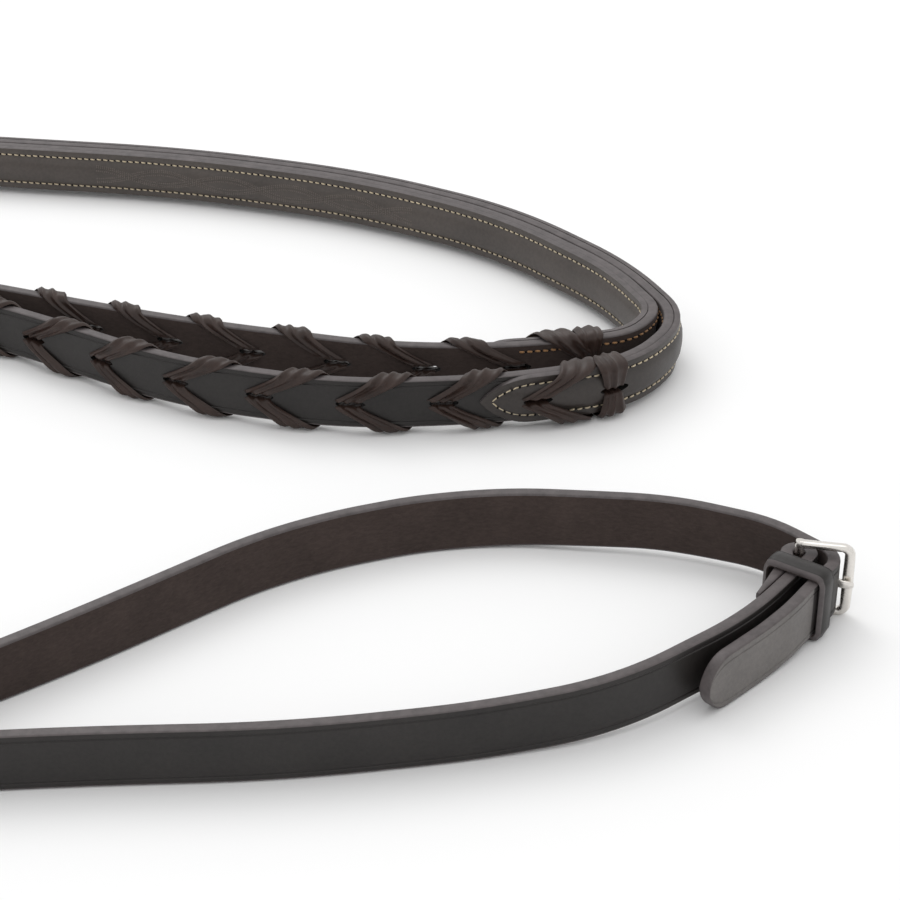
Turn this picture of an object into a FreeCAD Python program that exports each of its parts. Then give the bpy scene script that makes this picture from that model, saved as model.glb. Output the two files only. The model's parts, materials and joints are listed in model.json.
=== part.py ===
"""A pair of laced, raised snaffle reins joined by a centre buckle, standing on their edges.

Each rein is a flat leather strap on edge.  From the bit it has a folded bit end with a hook stud,
a raised and fancy stitched stretch, a laced stretch and a plain stretch.  The two lie flesh side to
flesh side in an S, and meet in a loop at the buckle: the left rein is folded round the hinge bar,
and the right rein passes through the frame and is held by the prong and the keeper.
Distances along a strap run from its bit end.  Distances aside are positive to the left.
"""

import FreeCAD, Part
import math
import os
from FreeCAD import Placement, Rotation, Vector

DIMENSIONS = (
    ("strap_width", 16.0, "height of a strap that stands on its edge"),
    ("strap_thick", 3.4, "thickness of the single leather"),
    ("strap_lift", 2.4, "floor to the strap's lower edge"),
    ("side_gap", 0.5, "air between the two reins where they lie together"),
    ("layer_gap", 0.3, "air between two layers folded on each other"),
    ("ledge_thick", 2.0, "raised cover at its stitched edges"),
    ("crown_thick", 3.2, "raised cover at its crown"),
    ("crown_width", 9.0, "height of the crown"),
    ("filler_thick", 1.4, "padding strip inside the crown"),
    ("filler_width", 7.0, "height of the padding strip"),
    ("point_length", 12.0, "pointed end of the raised cover"),
    ("stitch_inset", 2.6, "stitch row to the strap's edge"),
    ("thread_thick", 0.5, "sewing thread"),
    ("thread_gap", 0.1, "air under the fancy stitching"),
    ("cover_place", 3.0, "flexing point of the bit end to the raised cover"),
    ("filler_short", 4.0, "start of the cover to the padding strip"),
    ("fancy_start", 98.0, "start of the cover to the fancy stitching"),
    ("fancy_pitch", 26.0, "one diamond of the fancy stitching"),
    ("fancy_span", 5.4, "height of the fancy stitching"),
    ("fancy_count", 5.0, "diamonds in the fancy stitching"),
    ("lace_width", 8.0, "width of a lace along the strap"),
    ("lace_thick", 1.2, "thickness of a lace on the face"),
    ("lace_gap", 0.25, "air between lace and strap"),
    ("lace_pitch", 28.4, "one V of the lacing to the next"),
    ("lace_rise", 11.5, "slit to edge, measured along the strap"),
    ("lace_count", 20.0, "number of Vs"),
    ("band_gap", 24.2, "starting band to the first V"),
    ("point_gap", 41.0, "starting band to the point of the raised cover"),
    ("lace_split", 0.1, "lace to the middle of its slit"),
    ("slit_air", 0.6, "air above and below the two laces in a slit"),
    ("slit_ends", 2.0, "air beside the laces at the ends of a slit"),
    ("turn_gap", 1.7, "air between the laces of the two reins in the far turn"),
    ("bit_end_length", 78.0, "flexing point to the bit loop"),
    ("bit_loop_radius", 5.8, "room for the bit ring"),
    ("billet_length", 61.0, "billet from the loop to its tip"),
    ("stud_place", 41.0, "hook stud from the bit loop"),
    ("stud_radius", 1.8, "post of the hook stud"),
    ("stud_head_radius", 3.4, "head of the hook stud"),
    ("stud_head_thick", 1.6, "thickness of the head"),
    ("burr_radius", 3.6, "burr on the grain side"),
    ("burr_thick", 0.9, "thickness of the burr"),
    ("fit_gap", 0.05, "radial clearance of stud and prong"),
    ("keeper_width", 6.5, "keeper along the strap"),
    ("keeper_wall", 1.6, "side wall of a keeper"),
    ("keeper_gap", 0.3, "air inside a keeper"),
    ("near_keeper", 17.0, "first bit keeper from the bit loop"),
    ("far_keeper", 56.0, "second bit keeper from the bit loop"),
    ("bar_radius", 1.3, "hinge bar of the buckle"),
    ("frame_clear", 1.06, "right rein to the outer bar"),
    ("frame_bar", 2.7, "width of the outer bar"),
    ("frame_depth", 2.6, "frame, face to face"),
    ("frame_room", 2.2, "air above and below a strap inside the frame"),
    ("frame_rail", 1.9, "height of the frame's upper and lower rails"),
    ("frame_corner", 3.0, "outer corners of the frame"),
    ("frame_round", 0.7, "rounded edges of the frame"),
    ("prong_width", 3.0, "height of the prong"),
    ("prong_thick", 1.8, "thickness of the prong"),
    ("prong_wall", 1.1, "wall of the prong's eye"),
    ("prong_air", 0.15, "prong to the outer bar"),
    ("hole_gap", 0.8, "prong to the edge of its hole"),
    ("hole_length", 7.5, "length of the hole for the prong"),
    ("fold_turn", 40.0, "how far the fold closes beyond a half turn, in degrees"),
    ("fold_settle", 7.0, "bend that lays the turn-back on the strap"),
    ("turn_back", 24.0, "hinge bar to the end of the turn-back"),
    ("skived_thick", 0.9, "end of the turn-back, pared thin"),
    ("skive_start", 8.0, "hinge bar to where the paring starts"),
    ("wrap_gap", 0.6, "air between the fold and the right rein round it"),
    ("buckle_keeper_place", 5.0, "hinge bar to the keeper"),
    ("tip_place", 12.5, "start of the free end to where it flexes"),
    ("tip_straight", 16.0, "straight start of the free end"),
    ("flare_radius", 60.0, "bend by which the free end stands off"),
    ("tip_length", 56.0, "free end beyond the wrap round the buckle"),
    ("joint_gap", 0.2, "cut between two stand-in pieces of one strap"),
)

doc = FreeCAD.newDocument("laced_snaffle_reins")
sizes = doc.addObject("Spreadsheet::Sheet", "Sizes")
for row, (alias, value, note) in enumerate(DIMENSIONS, start=1):
    sizes.set(f"A{row}", note)
    sizes.set(f"B{row}", str(value))
    sizes.setAlias(f"B{row}", alias)
doc.recompute()


def size(alias):
    """The value of one cell of the sheet."""
    return float(sizes.get(alias))


THICK = size("strap_thick")
HALF = THICK / 2
WIDTH = size("strap_width")
LIFT = size("strap_lift")
MIDDLE = LIFT + WIDTH / 2
TOP = LIFT + WIDTH
RAISED = HALF + size("crown_thick")
LEDGE = HALF + size("ledge_thick")
LACE_OUT = size("lace_gap") + size("lace_thick")
SLIT_LENGTH = size("lace_width") + size("slit_ends")
SLIT_WIDTH = 2 * (size("lace_split") + size("lace_thick")) + size("slit_air")
FRAME_HEIGHT = WIDTH + size("frame_room") + 2 * size("frame_rail")


# ---------------------------------------------------------------- plan paths


def polar(length, heading):
    """A plan vector of this length, with its heading in degrees from +X."""
    return Vector(length * math.cos(math.radians(heading)), length * math.sin(math.radians(heading)), 0)


class Run:
    """A straight stretch of a path."""

    def __init__(self, start, heading, length):
        self.start, self.heading, self.length = start, heading, length

    def at(self, along, aside):
        return self.start + polar(along, self.heading) + polar(aside, self.heading + 90)

    def heading_at(self, along):
        return self.heading

    def edge(self, first, last, aside):
        return Part.LineSegment(self.at(first, aside), self.at(last, aside))


class Bend:
    """An arc of a path: a positive turn, in degrees, goes left."""

    def __init__(self, start, heading, radius, turn):
        self.start, self.heading, self.radius = start, heading, radius
        self.side = 1 if turn > 0 else -1
        self.length = radius * math.radians(abs(turn))
        self.centre = start + polar(radius * self.side, heading + 90)

    def heading_at(self, along):
        return self.heading + self.side * math.degrees(along / self.radius)

    def at(self, along, aside):
        out = self.side * (self.radius - self.side * aside)
        return self.centre - polar(out, self.heading_at(along) + 90)

    def edge(self, first, last, aside):
        ends = sorted((first, last))
        angles = [math.radians(self.heading_at(along) - 90 * self.side) for along in ends]
        if self.side < 0:
            angles.reverse()
        circle = Part.Circle(self.centre, Vector(0, 0, 1), self.radius - self.side * aside)
        return Part.ArcOfCircle(circle, angles[0], angles[1])


class Route:
    """A plan path of straight runs and the tangent arcs between them."""

    def __init__(self, start, heading):
        self.start, self.heading, self.pieces = start, heading, []

    def end(self):
        if not self.pieces:
            return self.start, self.heading
        last = self.pieces[-1]
        return last.at(last.length, 0), last.heading_at(last.length)

    def run(self, length):
        self.pieces.append(Run(*self.end(), length))
        return self

    def bend(self, radius, turn):
        self.pieces.append(Bend(*self.end(), radius, turn))
        return self

    def length(self):
        return sum(piece.length for piece in self.pieces)

    def find(self, along):
        for piece in self.pieces:
            if along <= piece.length or piece is self.pieces[-1]:
                return piece, along
            along -= piece.length

    def at(self, along, aside=0.0, height=0.0):
        piece, rest = self.find(along)
        return piece.at(rest, aside) + Vector(0, 0, height)

    def heading_at(self, along):
        piece, rest = self.find(along)
        return piece.heading_at(rest)

    def edges(self, first, last, aside):
        """The edges of the line at this distance aside, between two places along the route."""
        found = []
        passed = 0.0
        for piece in self.pieces:
            low, high = max(first - passed, 0.0), min(last - passed, piece.length)
            if high - low > 1e-6:
                found.append(piece.edge(low, high, aside))
            passed += piece.length
        return found

    def nearest(self, point):
        """The place along the route that is nearest to a plan point."""
        steps = int(self.length())
        return min(range(steps + 1), key=lambda step: (self.at(step) - point).Length)


def through(points, share=0.45):
    """A route through hand-placed points, each rounded as widely as its two runs allow."""
    legs = [end - start for start, end in zip(points, points[1:])]
    headings = [math.degrees(math.atan2(leg.y, leg.x)) for leg in legs]
    route = Route(points[0], headings[0])
    used = 0.0
    for number in range(len(legs) - 1):
        turn = (headings[number + 1] - headings[number] + 180) % 360 - 180
        cut = share * min(legs[number].Length, legs[number + 1].Length)
        route.run(legs[number].Length - used - cut)
        route.bend(cut / math.tan(math.radians(abs(turn) / 2)), turn)
        used = cut
    return route.run(legs[-1].Length - used)


def beside(points, aside):
    """The corners of a line at this distance aside of a line of corners, its two ends included."""
    shifted = []
    for number, point in enumerate(points):
        before = points[number] - points[number - 1] if number else points[1] - points[0]
        after = points[number + 1] - point if number + 1 < len(points) else before
        first, second = (math.degrees(math.atan2(leg.y, leg.x)) for leg in (before, after))
        turn = (second - first + 180) % 360 - 180
        shifted.append(point + polar(aside / math.cos(math.radians(turn / 2)), first + turn / 2 + 90))
    return shifted


# The hinge bar, and the headings of the straps at it, settle the buckle's place.
HINGE = Vector(211.0, -114.3, 0)
WRAP_OFFSET = Vector(1.6, -2.2, 0)
LEFT_HEADING = 54.0
RIGHT_HEADING = -48.0
TIP_HEADING = 225.3
FRAME_HEADING = -11.0
LEFT_APPROACH = 34.0
RIGHT_APPROACH = 19.0
FOLD_RADIUS = size("bar_radius") + size("layer_gap") + HALF
WRAP_RADIUS = FOLD_RADIUS + THICK + size("wrap_gap")
WRAP_FACE = WRAP_RADIUS + HALF + WRAP_OFFSET.dot(polar(1, FRAME_HEADING))
FRAME_LENGTH = WRAP_FACE + size("frame_clear") + size("frame_bar") / 2

BACK_CORNERS = [Vector(*corner) for corner in (
    (-68, 177), (18, 164), (85, 142), (138, 109.5), (174.5, 64.5),
)]
# In the bend the corners are those of the two flesh faces, so a thicker strap grows away from them.
RIGHT_BEND_FACE = [Vector(*corner) for corner in (
    (190.6, 26.9), (172.9, -1.6), (132.7, -13.3), (84.9, -16.8),
)]
RIGHT_RUN_CORNERS = [Vector(*corner) for corner in ((33, -4), (-31, 36.5))]
TURN_CORNERS = [Vector(*corner) for corner in (
    (-94, 66), (-165, 55), (-210, 1), (-213, -73), (-179, -143), (-118, -184),
)]
RIGHT_LOOP_CORNERS = [Vector(*corner) for corner in (
    (-47, -191), (13, -148), (73, -97), (123, -79), (180, -87),
)]
LEFT_BEND_FACE = [Vector(*corner) for corner in ((187, 31.2), (177.1, 14), (138.2, 4.3), (98, 4.8))]
LEFT_RUN_CORNERS = [Vector(*corner) for corner in ((31, 24), (-29, 47))]
LEFT_LOOP_CORNERS = [Vector(*corner) for corner in (
    (-47, -196), (18, -189.5), (78, -187), (123, -179.5), (160, -170),
)]
RIGHT_BIT_CORNER, RIGHT_BIT_HEADING = Vector(-102, 183.5, 0), -10.4
LEFT_BIT_CORNER, LEFT_BIT_HEADING = Vector(-102, 178.5, 0), 15.4
BIT_APPROACH = 13.5

pair_spacing = THICK + size("side_gap")
turn_spacing = THICK + 2 * LACE_OUT + size("turn_gap")


def bit_leg(corner, heading):
    """The straight leg of a bit end and what leads on from it to the first corner."""
    return [corner - polar(size("bit_end_length") + BIT_APPROACH, heading), corner]


def right_rein_route():
    """From the bit end, round the outside of the right bend, to the tip beyond the buckle."""
    touch = HINGE + WRAP_OFFSET + polar(WRAP_RADIUS, RIGHT_HEADING + 90)
    corners = bit_leg(RIGHT_BIT_CORNER, RIGHT_BIT_HEADING)
    corners += beside(BACK_CORNERS, pair_spacing / 2) + beside(RIGHT_BEND_FACE, HALF)
    corners += RIGHT_RUN_CORNERS + TURN_CORNERS + RIGHT_LOOP_CORNERS
    corners += [touch - polar(RIGHT_APPROACH, RIGHT_HEADING), touch]
    route = through(corners)
    route.bend(WRAP_RADIUS, LEFT_HEADING + 180 - 360 - RIGHT_HEADING)
    end = route.length() + size("tip_length")
    route.run(size("tip_straight")).bend(size("flare_radius"), TIP_HEADING - LEFT_HEADING - 180)
    return route.run(end - route.length())


def left_rein_route():
    """From the bit end, round the inside of the right bend, to the end of the buckle fold."""
    touch = HINGE + polar(FOLD_RADIUS, LEFT_HEADING - 90)
    corners = bit_leg(LEFT_BIT_CORNER, LEFT_BIT_HEADING)
    corners += beside(BACK_CORNERS, -pair_spacing / 2) + beside(LEFT_BEND_FACE, -HALF)
    corners += LEFT_RUN_CORNERS + beside(TURN_CORNERS, -turn_spacing) + LEFT_LOOP_CORNERS
    corners += [touch - polar(LEFT_APPROACH, LEFT_HEADING), touch]
    route = through(corners)
    over, settle = size("fold_turn"), size("fold_settle")
    drop = FOLD_RADIUS * (1 + math.cos(math.radians(over))) - THICK - size("layer_gap")
    slope = drop - settle * (1 - math.cos(math.radians(over)))
    route.bend(FOLD_RADIUS, 180 + over)
    route.run(slope / math.sin(math.radians(over)))
    route.bend(settle, -over)
    done = (route.end()[0] - HINGE).Length
    return route.run(size("turn_back") - done)


# ---------------------------------------------------------------- building blocks


def origin_plane(body, role):
    """One of a body's own origin planes, found by its role."""
    return next(feature for feature in body.Origin.OriginFeatures if feature.Role == role)


def new_sketch(body, name, role="XY_Plane", height=None):
    """A sketch on a body's own plane, lifted by an expression where one is given."""
    sketch = body.newObject("Sketcher::SketchObject", name)
    sketch.AttachmentSupport = [(origin_plane(body, role), "")]
    sketch.MapMode = "FlatFace"
    if height:
        sketch.setExpression("AttachmentOffset.Base.z", height)
    return sketch


def new_body(label):
    body = doc.addObject("PartDesign::Body", label)
    body.Label = label
    return body


def strip_outline(route, first, last, right, left):
    """The closed plan outline of a strip that follows a route."""
    outline = route.edges(first, last, left) + route.edges(first, last, right)
    outline.append(Part.LineSegment(route.at(first, left), route.at(first, right)))
    outline.append(Part.LineSegment(route.at(last, left), route.at(last, right)))
    return outline


def pad(body, name, outline, base, height):
    """Pads a plan outline upward: base and height are expressions."""
    sketch = new_sketch(body, name + "_outline", height=base)
    sketch.addGeometry(outline, False)
    feature = body.newObject("PartDesign::Pad", name)
    feature.Profile = sketch
    feature.setExpression("Length", height)
    return feature


def strip(label, route, first, last, right=-HALF, left=HALF):
    """A strap, or one layer on it, as a padded strip of the full strap width."""
    body = new_body(label)
    pad(body, label + "_pad", strip_outline(route, first, last, right, left),
        "Sizes.strap_lift", "Sizes.strap_width")
    return body


def shape_object(label, shape, placement=None):
    """A piece whose shape is worked out here."""
    piece = doc.addObject("Part::Feature", label)
    piece.Label = label
    piece.Shape = shape
    if placement:
        piece.Placement = placement
    return piece


def cut(label, base, tools):
    """A named piece: the base with all the tools taken away."""
    base.Label = label + "_blank"
    tool = shape_object(label + "_cutters", Part.makeCompound(tools))
    result = doc.addObject("Part::Cut", label)
    result.Label = label
    result.Base, result.Tool = base, tool
    return result


def station(route, along, height=0.0):
    """A placement on a strap: X along it, Y to its left, Z up."""
    return Placement(route.at(along, 0, height), Rotation(Vector(0, 0, 1), route.heading_at(along)))


def slot_tool(length, height, near, far):
    """A slot with round ends that runs across a strap from near to far aside."""
    radius = height / 2
    reach = length / 2 - radius
    places = ((-reach, -radius), (reach, -radius), (reach, radius), (-reach, radius))
    ends = [Vector(x, near, z) for x, z in places]
    bulge = [Vector(reach + radius, near, 0), Vector(-reach - radius, near, 0)]
    edges = [
        Part.makeLine(ends[0], ends[1]), Part.Arc(ends[1], bulge[0], ends[2]).toShape(),
        Part.makeLine(ends[2], ends[3]), Part.Arc(ends[3], bulge[1], ends[0]).toShape(),
    ]
    return Part.Face(Part.Wire(edges)).extrude(Vector(0, far - near, 0))


def placed(shape, placement):
    shape.Placement = placement
    return shape


def chain_solid(sections):
    """A closed solid through four-cornered sections, each joined to the next by flat triangles."""
    faces = []

    def triangle(a, b, c):
        faces.append(Part.Face(Part.makePolygon([a, b, c, a])))

    for this, following in zip(sections, sections[1:]):
        for number in range(4):
            after = (number + 1) % 4
            triangle(this[number], this[after], following[after])
            triangle(this[number], following[after], following[number])
    for end in (sections[0], sections[-1]):
        triangle(end[0], end[1], end[2])
        triangle(end[0], end[2], end[3])
    shell = Part.makeShell(faces)
    shell.sewShape()
    solid = Part.makeSolid(shell)
    if solid.Volume < 0:
        solid.reverse()
    return solid


# ---------------------------------------------------------------- leather pieces


class Rein:
    """One rein: its route, and the side of it, +1 left or -1 right, that is the grain side."""

    def __init__(self, name, route, grain, band_near):
        self.name, self.route, self.grain = name, route, grain
        self.flex = size("bit_end_length")
        self.band = route.nearest(band_near)
        self.point = self.band + size("point_gap")
        self.cover_start = self.flex + size("cover_place")
        self.slits = [self.band] + [
            self.band + size("band_gap") + number * size("lace_pitch")
            for number in range(int(size("lace_count")))
        ]

    def sides(self, near, far):
        """The right and left bounds of a layer between two distances on the grain side."""
        return sorted((self.grain * near, self.grain * far))

    def grain_at(self, along):
        """How far the grain surface stands from the strap's middle."""
        return RAISED if along < self.point + 2 else HALF

    def slit_tools(self, last):
        reach = RAISED + 2
        return [
            placed(slot_tool(SLIT_LENGTH, SLIT_WIDTH, -reach, reach),
                   station(self.route, along, MIDDLE))
            for along in self.slits if along < last
        ]


def raised_cover(rein):
    """The cover over the padding: a stitched ledge, a crown, and a pointed end on the laced side."""
    label = rein.name + "_raised_cover"
    body = new_body(label)
    first, last = rein.cover_start, rein.point
    ledge = strip_outline(rein.route, first, last, *rein.sides(HALF, LEDGE))
    crown = strip_outline(rein.route, first, last, *rein.sides(HALF, RAISED))
    pad(body, label + "_ledge", ledge, "Sizes.strap_lift", "Sizes.strap_width")
    pad(body, label + "_crown", crown,
        "Sizes.strap_lift + (Sizes.strap_width - Sizes.crown_width) / 2", "Sizes.crown_width")
    doc.recompute()
    whole = body.Shape.Volume
    channel = new_sketch(body, label + "_channel_outline",
                         height="Sizes.strap_lift + (Sizes.strap_width - Sizes.filler_width) / 2")
    start, end = filler_ends(rein)
    room = rein.sides(HALF, HALF + size("filler_thick"))
    channel.addGeometry(strip_outline(rein.route, start, end, *room), False)
    pocket = body.newObject("PartDesign::Pocket", label + "_channel")
    pocket.Profile = channel
    pocket.Reversed = True
    pocket.setExpression("Length", "Sizes.filler_width")
    doc.recompute()
    taken = whole - body.Shape.Volume
    if taken < 0.9 * (end - start) * size("filler_thick") * size("filler_width"):
        raise RuntimeError(label + ": the padding channel was not cut")
    slope = size("point_length")
    reach = RAISED + 2
    corners = [
        Vector(1, -reach, 0), Vector(-slope / 3, -reach, WIDTH / 3), Vector(-slope, -reach, WIDTH / 2 + 1),
        Vector(1, -reach, WIDTH / 2 + 1), Vector(1, -reach, 0),
    ]
    upper = Part.Face(Part.makePolygon(corners)).extrude(Vector(0, 2 * reach, 0))
    lower = upper.mirror(Vector(0, 0, 0), Vector(0, 0, 1))
    tools = [placed(half, station(rein.route, last, MIDDLE)) for half in (upper, lower)]
    return cut(label, body, tools + rein.slit_tools(last))


def filler_ends(rein):
    """The padding strip stops short of both ends of the cover."""
    short = size("filler_short")
    return rein.cover_start + short, rein.point - size("point_length") - short / 2


def raised_filler(rein):
    """The padding strip that makes the crown."""
    label = rein.name + "_raised_filler"
    body = new_body(label)
    start, end = filler_ends(rein)
    outline = strip_outline(rein.route, start, end, *rein.sides(HALF, HALF + size("filler_thick")))
    pad(body, label + "_pad", outline,
        "Sizes.strap_lift + (Sizes.strap_width - Sizes.filler_width) / 2", "Sizes.filler_width")
    return cut(label, body, rein.slit_tools(end + SLIT_LENGTH))


def cover_stitching(rein):
    """One stitch row along each edge of the raised cover."""
    near, far = rein.sides(LEDGE, LEDGE + size("thread_thick"))
    outline = strip_outline(rein.route, rein.cover_start + 2, rein.point - size("point_length"), near, far)
    face = Part.Face(Part.Wire(Part.__sortEdges__([edge.toShape() for edge in outline])))
    rows = []
    for height in (LIFT + size("stitch_inset"), TOP - size("stitch_inset")):
        row = face.extrude(Vector(0, 0, size("thread_thick")))
        row.translate(Vector(0, 0, height - size("thread_thick") / 2))
        rows.append(row)
    return shape_object(rein.name + "_cover_stitching", Part.makeCompound(rows))


def fancy_stitching(rein):
    """Two strands that cross in a row of diamonds on the crown."""
    pitch = size("fancy_pitch") / 2
    start = rein.cover_start + size("fancy_start")
    thread = size("thread_thick")
    strands = []
    for layer, side in enumerate((1, -1)):
        near = RAISED + size("thread_gap") + layer * thread
        sections = []
        for number in range(2 * int(size("fancy_count")) + 1):
            along = start + number * pitch
            height = MIDDLE + side * (size("fancy_span") / 2) * math.cos(number * math.pi / 2)
            far = near + thread
            sections.append([
                rein.route.at(along, rein.grain * aside, height + up)
                for aside, up in ((near, -thread), (near, thread), (far, thread), (far, -thread))
            ])
        strands.append(chain_solid(sections))
    return shape_object(rein.name + "_fancy_stitching", Part.makeCompound(strands))


def lace(rein, edge):
    """One lace: from slit to slit, over the strap's upper (+1) or lower (-1) edge."""
    route, gap = rein.route, size("lace_gap")
    half_width = size("lace_width") / 2
    over = size("strap_lift") - gap

    def section(along, aside_in, aside_out, high_in, high_out):
        """Inner line and outer line of the lace, each across its width."""
        return [
            route.at(along + shift, rein.grain * aside, MIDDLE + edge * high)
            for shift, aside, high in (
                (-half_width, aside_in, high_in), (half_width, aside_in, high_in),
                (half_width, aside_out, high_out), (-half_width, aside_out, high_out),
            )
        ]

    slit_in, slit_out = size("lace_split") + size("lace_thick"), size("lace_split")
    edge_in, edge_out = WIDTH / 2 + gap, WIDTH / 2 + gap + over
    back_in, back_out = -HALF - gap, -HALF - LACE_OUT
    sections = []
    for number in range(len(rein.slits) - 1, -1, -1):
        along = rein.slits[number]
        face = rein.grain_at(along)
        face_in, face_out = face + gap, face + LACE_OUT
        band = number == 0
        rise = 0.0 if band else size("lace_rise")
        top = along - rise
        following = None if band else rein.slits[number - 1]
        sections.append(section(along, face_in, face_out, slit_in, slit_out))
        sections.append(section(along - rise / 2, face_in, face_out,
                                (slit_in + edge_in) / 2, (slit_out + edge_in) / 2))
        sections.append(section(top, face_in, face_out, edge_in, edge_out))
        sections.append(section(top, back_in, back_out, edge_in, edge_out))
        if band:
            sections.append(section(top, back_in, back_out, WIDTH / 4 + 1, WIDTH / 4 + 1))
        else:
            sections.append(section((top + following) / 2, back_in, back_out,
                                    (slit_in + edge_in) / 2, (slit_out + edge_in) / 2))
            sections.append(section(following, back_in, back_out, slit_in, slit_out))
    side = "upper" if edge > 0 else "lower"
    return shape_object(f"{rein.name}_{side}_lace", chain_solid(sections))


def keeper(label, placement, stack):
    """A leather band round a stack of layers that reaches from one distance aside to another."""
    body = new_body(label)
    gap, wall = size("keeper_gap"), size("keeper_wall")
    sketch = new_sketch(body, label + "_section", role="YZ_Plane")
    low, high = stack
    half = WIDTH / 2
    for side_room, end_room in ((gap + wall, size("strap_lift")), (gap, gap)):
        left, right = low - side_room, high + side_room
        corners = [Vector(left, -half - end_room), Vector(right, -half - end_room),
                   Vector(right, half + end_room), Vector(left, half + end_room)]
        sides = zip(corners, corners[1:] + corners[:1])
        sketch.addGeometry([Part.LineSegment(a, b) for a, b in sides], False)
    feature = body.newObject("PartDesign::Pad", label + "_pad")
    feature.Profile = sketch
    feature.setExpression("Length", "Sizes.keeper_width")
    doc.recompute()
    rounds = body.newObject("PartDesign::Fillet", label + "_rounds")
    box = feature.Shape.BoundBox
    outer = [
        f"Edge{number}" for number, edge in enumerate(feature.Shape.Edges, start=1)
        if edge.BoundBox.XLength > size("keeper_width") / 2
        and min(abs(edge.BoundBox.YMin - box.YMin), abs(edge.BoundBox.YMin - box.YMax)) < 1e-6
    ]
    rounds.Base = (feature, outer)
    rounds.Radius = wall * 0.8
    body.Placement = placement
    return body


def bit_end(rein):
    """The strap's folded end with its billet, keepers and hook stud, in one straight stretch."""
    flesh = -rein.grain
    length = size("bit_end_length") - size("joint_gap")
    start = rein.route.at(rein.flex - size("joint_gap"))
    heading = rein.route.heading_at(rein.flex) + 180
    loop = size("bit_loop_radius") + HALF
    layer = THICK + size("layer_gap")
    turned = -flesh
    route = Route(start, heading).run(length)
    route.bend(loop, turned * 270).bend(loop - layer, -turned * 90).run(size("billet_length"))
    billet = strip(rein.name + "_bit_end_strap", route, 0, route.length())
    frame = Placement(route.at(length, 0, MIDDLE), Rotation(Vector(0, 0, 1), heading))
    stud_at = Vector(-size("stud_place"), 0, 0)
    across = Vector(0, turned, 0)
    bore = size("stud_radius") + size("fit_gap")
    keyhole = Part.makeCylinder(bore, layer + THICK + 4, stud_at - across * (HALF + 2), across)
    tip_end = route.at(route.length(), 0, MIDDLE)
    tip = tip_tool(Placement(tip_end, Rotation(Vector(0, 0, 1), route.end()[1])), HALF + 0.1)
    strap = cut(rein.name + "_bit_end_strap", billet, [placed(keyhole, frame), tip])

    outer = turned * (layer + HALF)
    room = size("layer_gap")
    head = Part.makeCylinder(size("stud_head_radius"), size("stud_head_thick"),
                             stud_at + Vector(0, outer, 0) + across * room, across)
    post = Part.makeCylinder(size("stud_radius"), layer + THICK + room + size("burr_thick") + 0.3,
                             stud_at - across * (HALF + size("burr_thick") + 0.3), across)
    stud = shape_object(rein.name + "_hook_stud", post.fuse(head).removeSplitter(), frame)
    ring = Part.makeCylinder(size("burr_radius"), size("burr_thick"),
                             stud_at - across * (HALF + size("burr_thick")), across)
    hole = Part.makeCylinder(bore, 2 * size("burr_thick"),
                             stud_at - across * (HALF + 1.5 * size("burr_thick")), across)
    burr = shape_object(rein.name + "_stud_burr", ring.cut(hole), frame)
    stack = sorted((-turned * HALF, turned * (layer + HALF)))
    keepers = [
        keeper(f"{rein.name}_{name}_bit_keeper",
               frame.multiply(Placement(Vector(-size(place) - size("keeper_width"), 0, 0), Rotation())),
               stack)
        for name, place in (("near", "near_keeper"), ("far", "far_keeper"))
    ]
    rein.bit_loop = route.at(length, turned * loop)
    return [strap, stud, burr] + keepers


def tip_tool(placement, reach):
    """What is cut away to round off the end of a strap, seen from its face."""
    radius = WIDTH / 2
    block = Part.makeBox(radius + 1, 2 * reach, WIDTH + 2, Vector(-radius, -reach, -radius - 1))
    disc = Part.makeCylinder(radius, 2 * reach, Vector(-radius, -reach, 0), Vector(0, 1, 0))
    return placed(block.cut(disc), placement)


# ---------------------------------------------------------------- the buckle


def prong_room(aside_low, aside_high, near, far):
    """The space that the prong needs, in the frame of the hinge bar."""
    height = size("prong_width") + 2 * size("hole_gap")
    return Part.makeBox(far - near, aside_high - aside_low, height, Vector(near, aside_low, -height / 2))


def fold_reach(route, behind):
    """How far the turn-back's outer side stands from the hinge bar's line, at this place behind it."""
    placement = Placement(HINGE, Rotation(Vector(0, 0, 1), LEFT_HEADING)).inverse()
    last = route.length()
    steps = range(int(10 * size("turn_back")))
    places = [placement.multVec(route.at(last - step / 10, -HALF)) for step in steps]
    return max(place.y for place in places if place.x < -behind)


def skive_tool(placement):
    """What is pared off the outside of the turn-back, so that it ends thin."""
    inner = -FOLD_RADIUS + HALF + size("layer_gap")
    end = -size("turn_back") - 1
    start = -size("skive_start")
    corners = [Vector(end, inner + size("skived_thick")), Vector(start, inner + THICK),
               Vector(start, inner + 3 * THICK), Vector(end, inner + 3 * THICK)]
    wedge = Part.Face(Part.makePolygon(corners + corners[:1])).extrude(Vector(0, 0, WIDTH + 2))
    wedge.translate(Vector(0, 0, -WIDTH / 2 - 1))
    return placed(Part.makeCompound([wedge]), placement)


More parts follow.
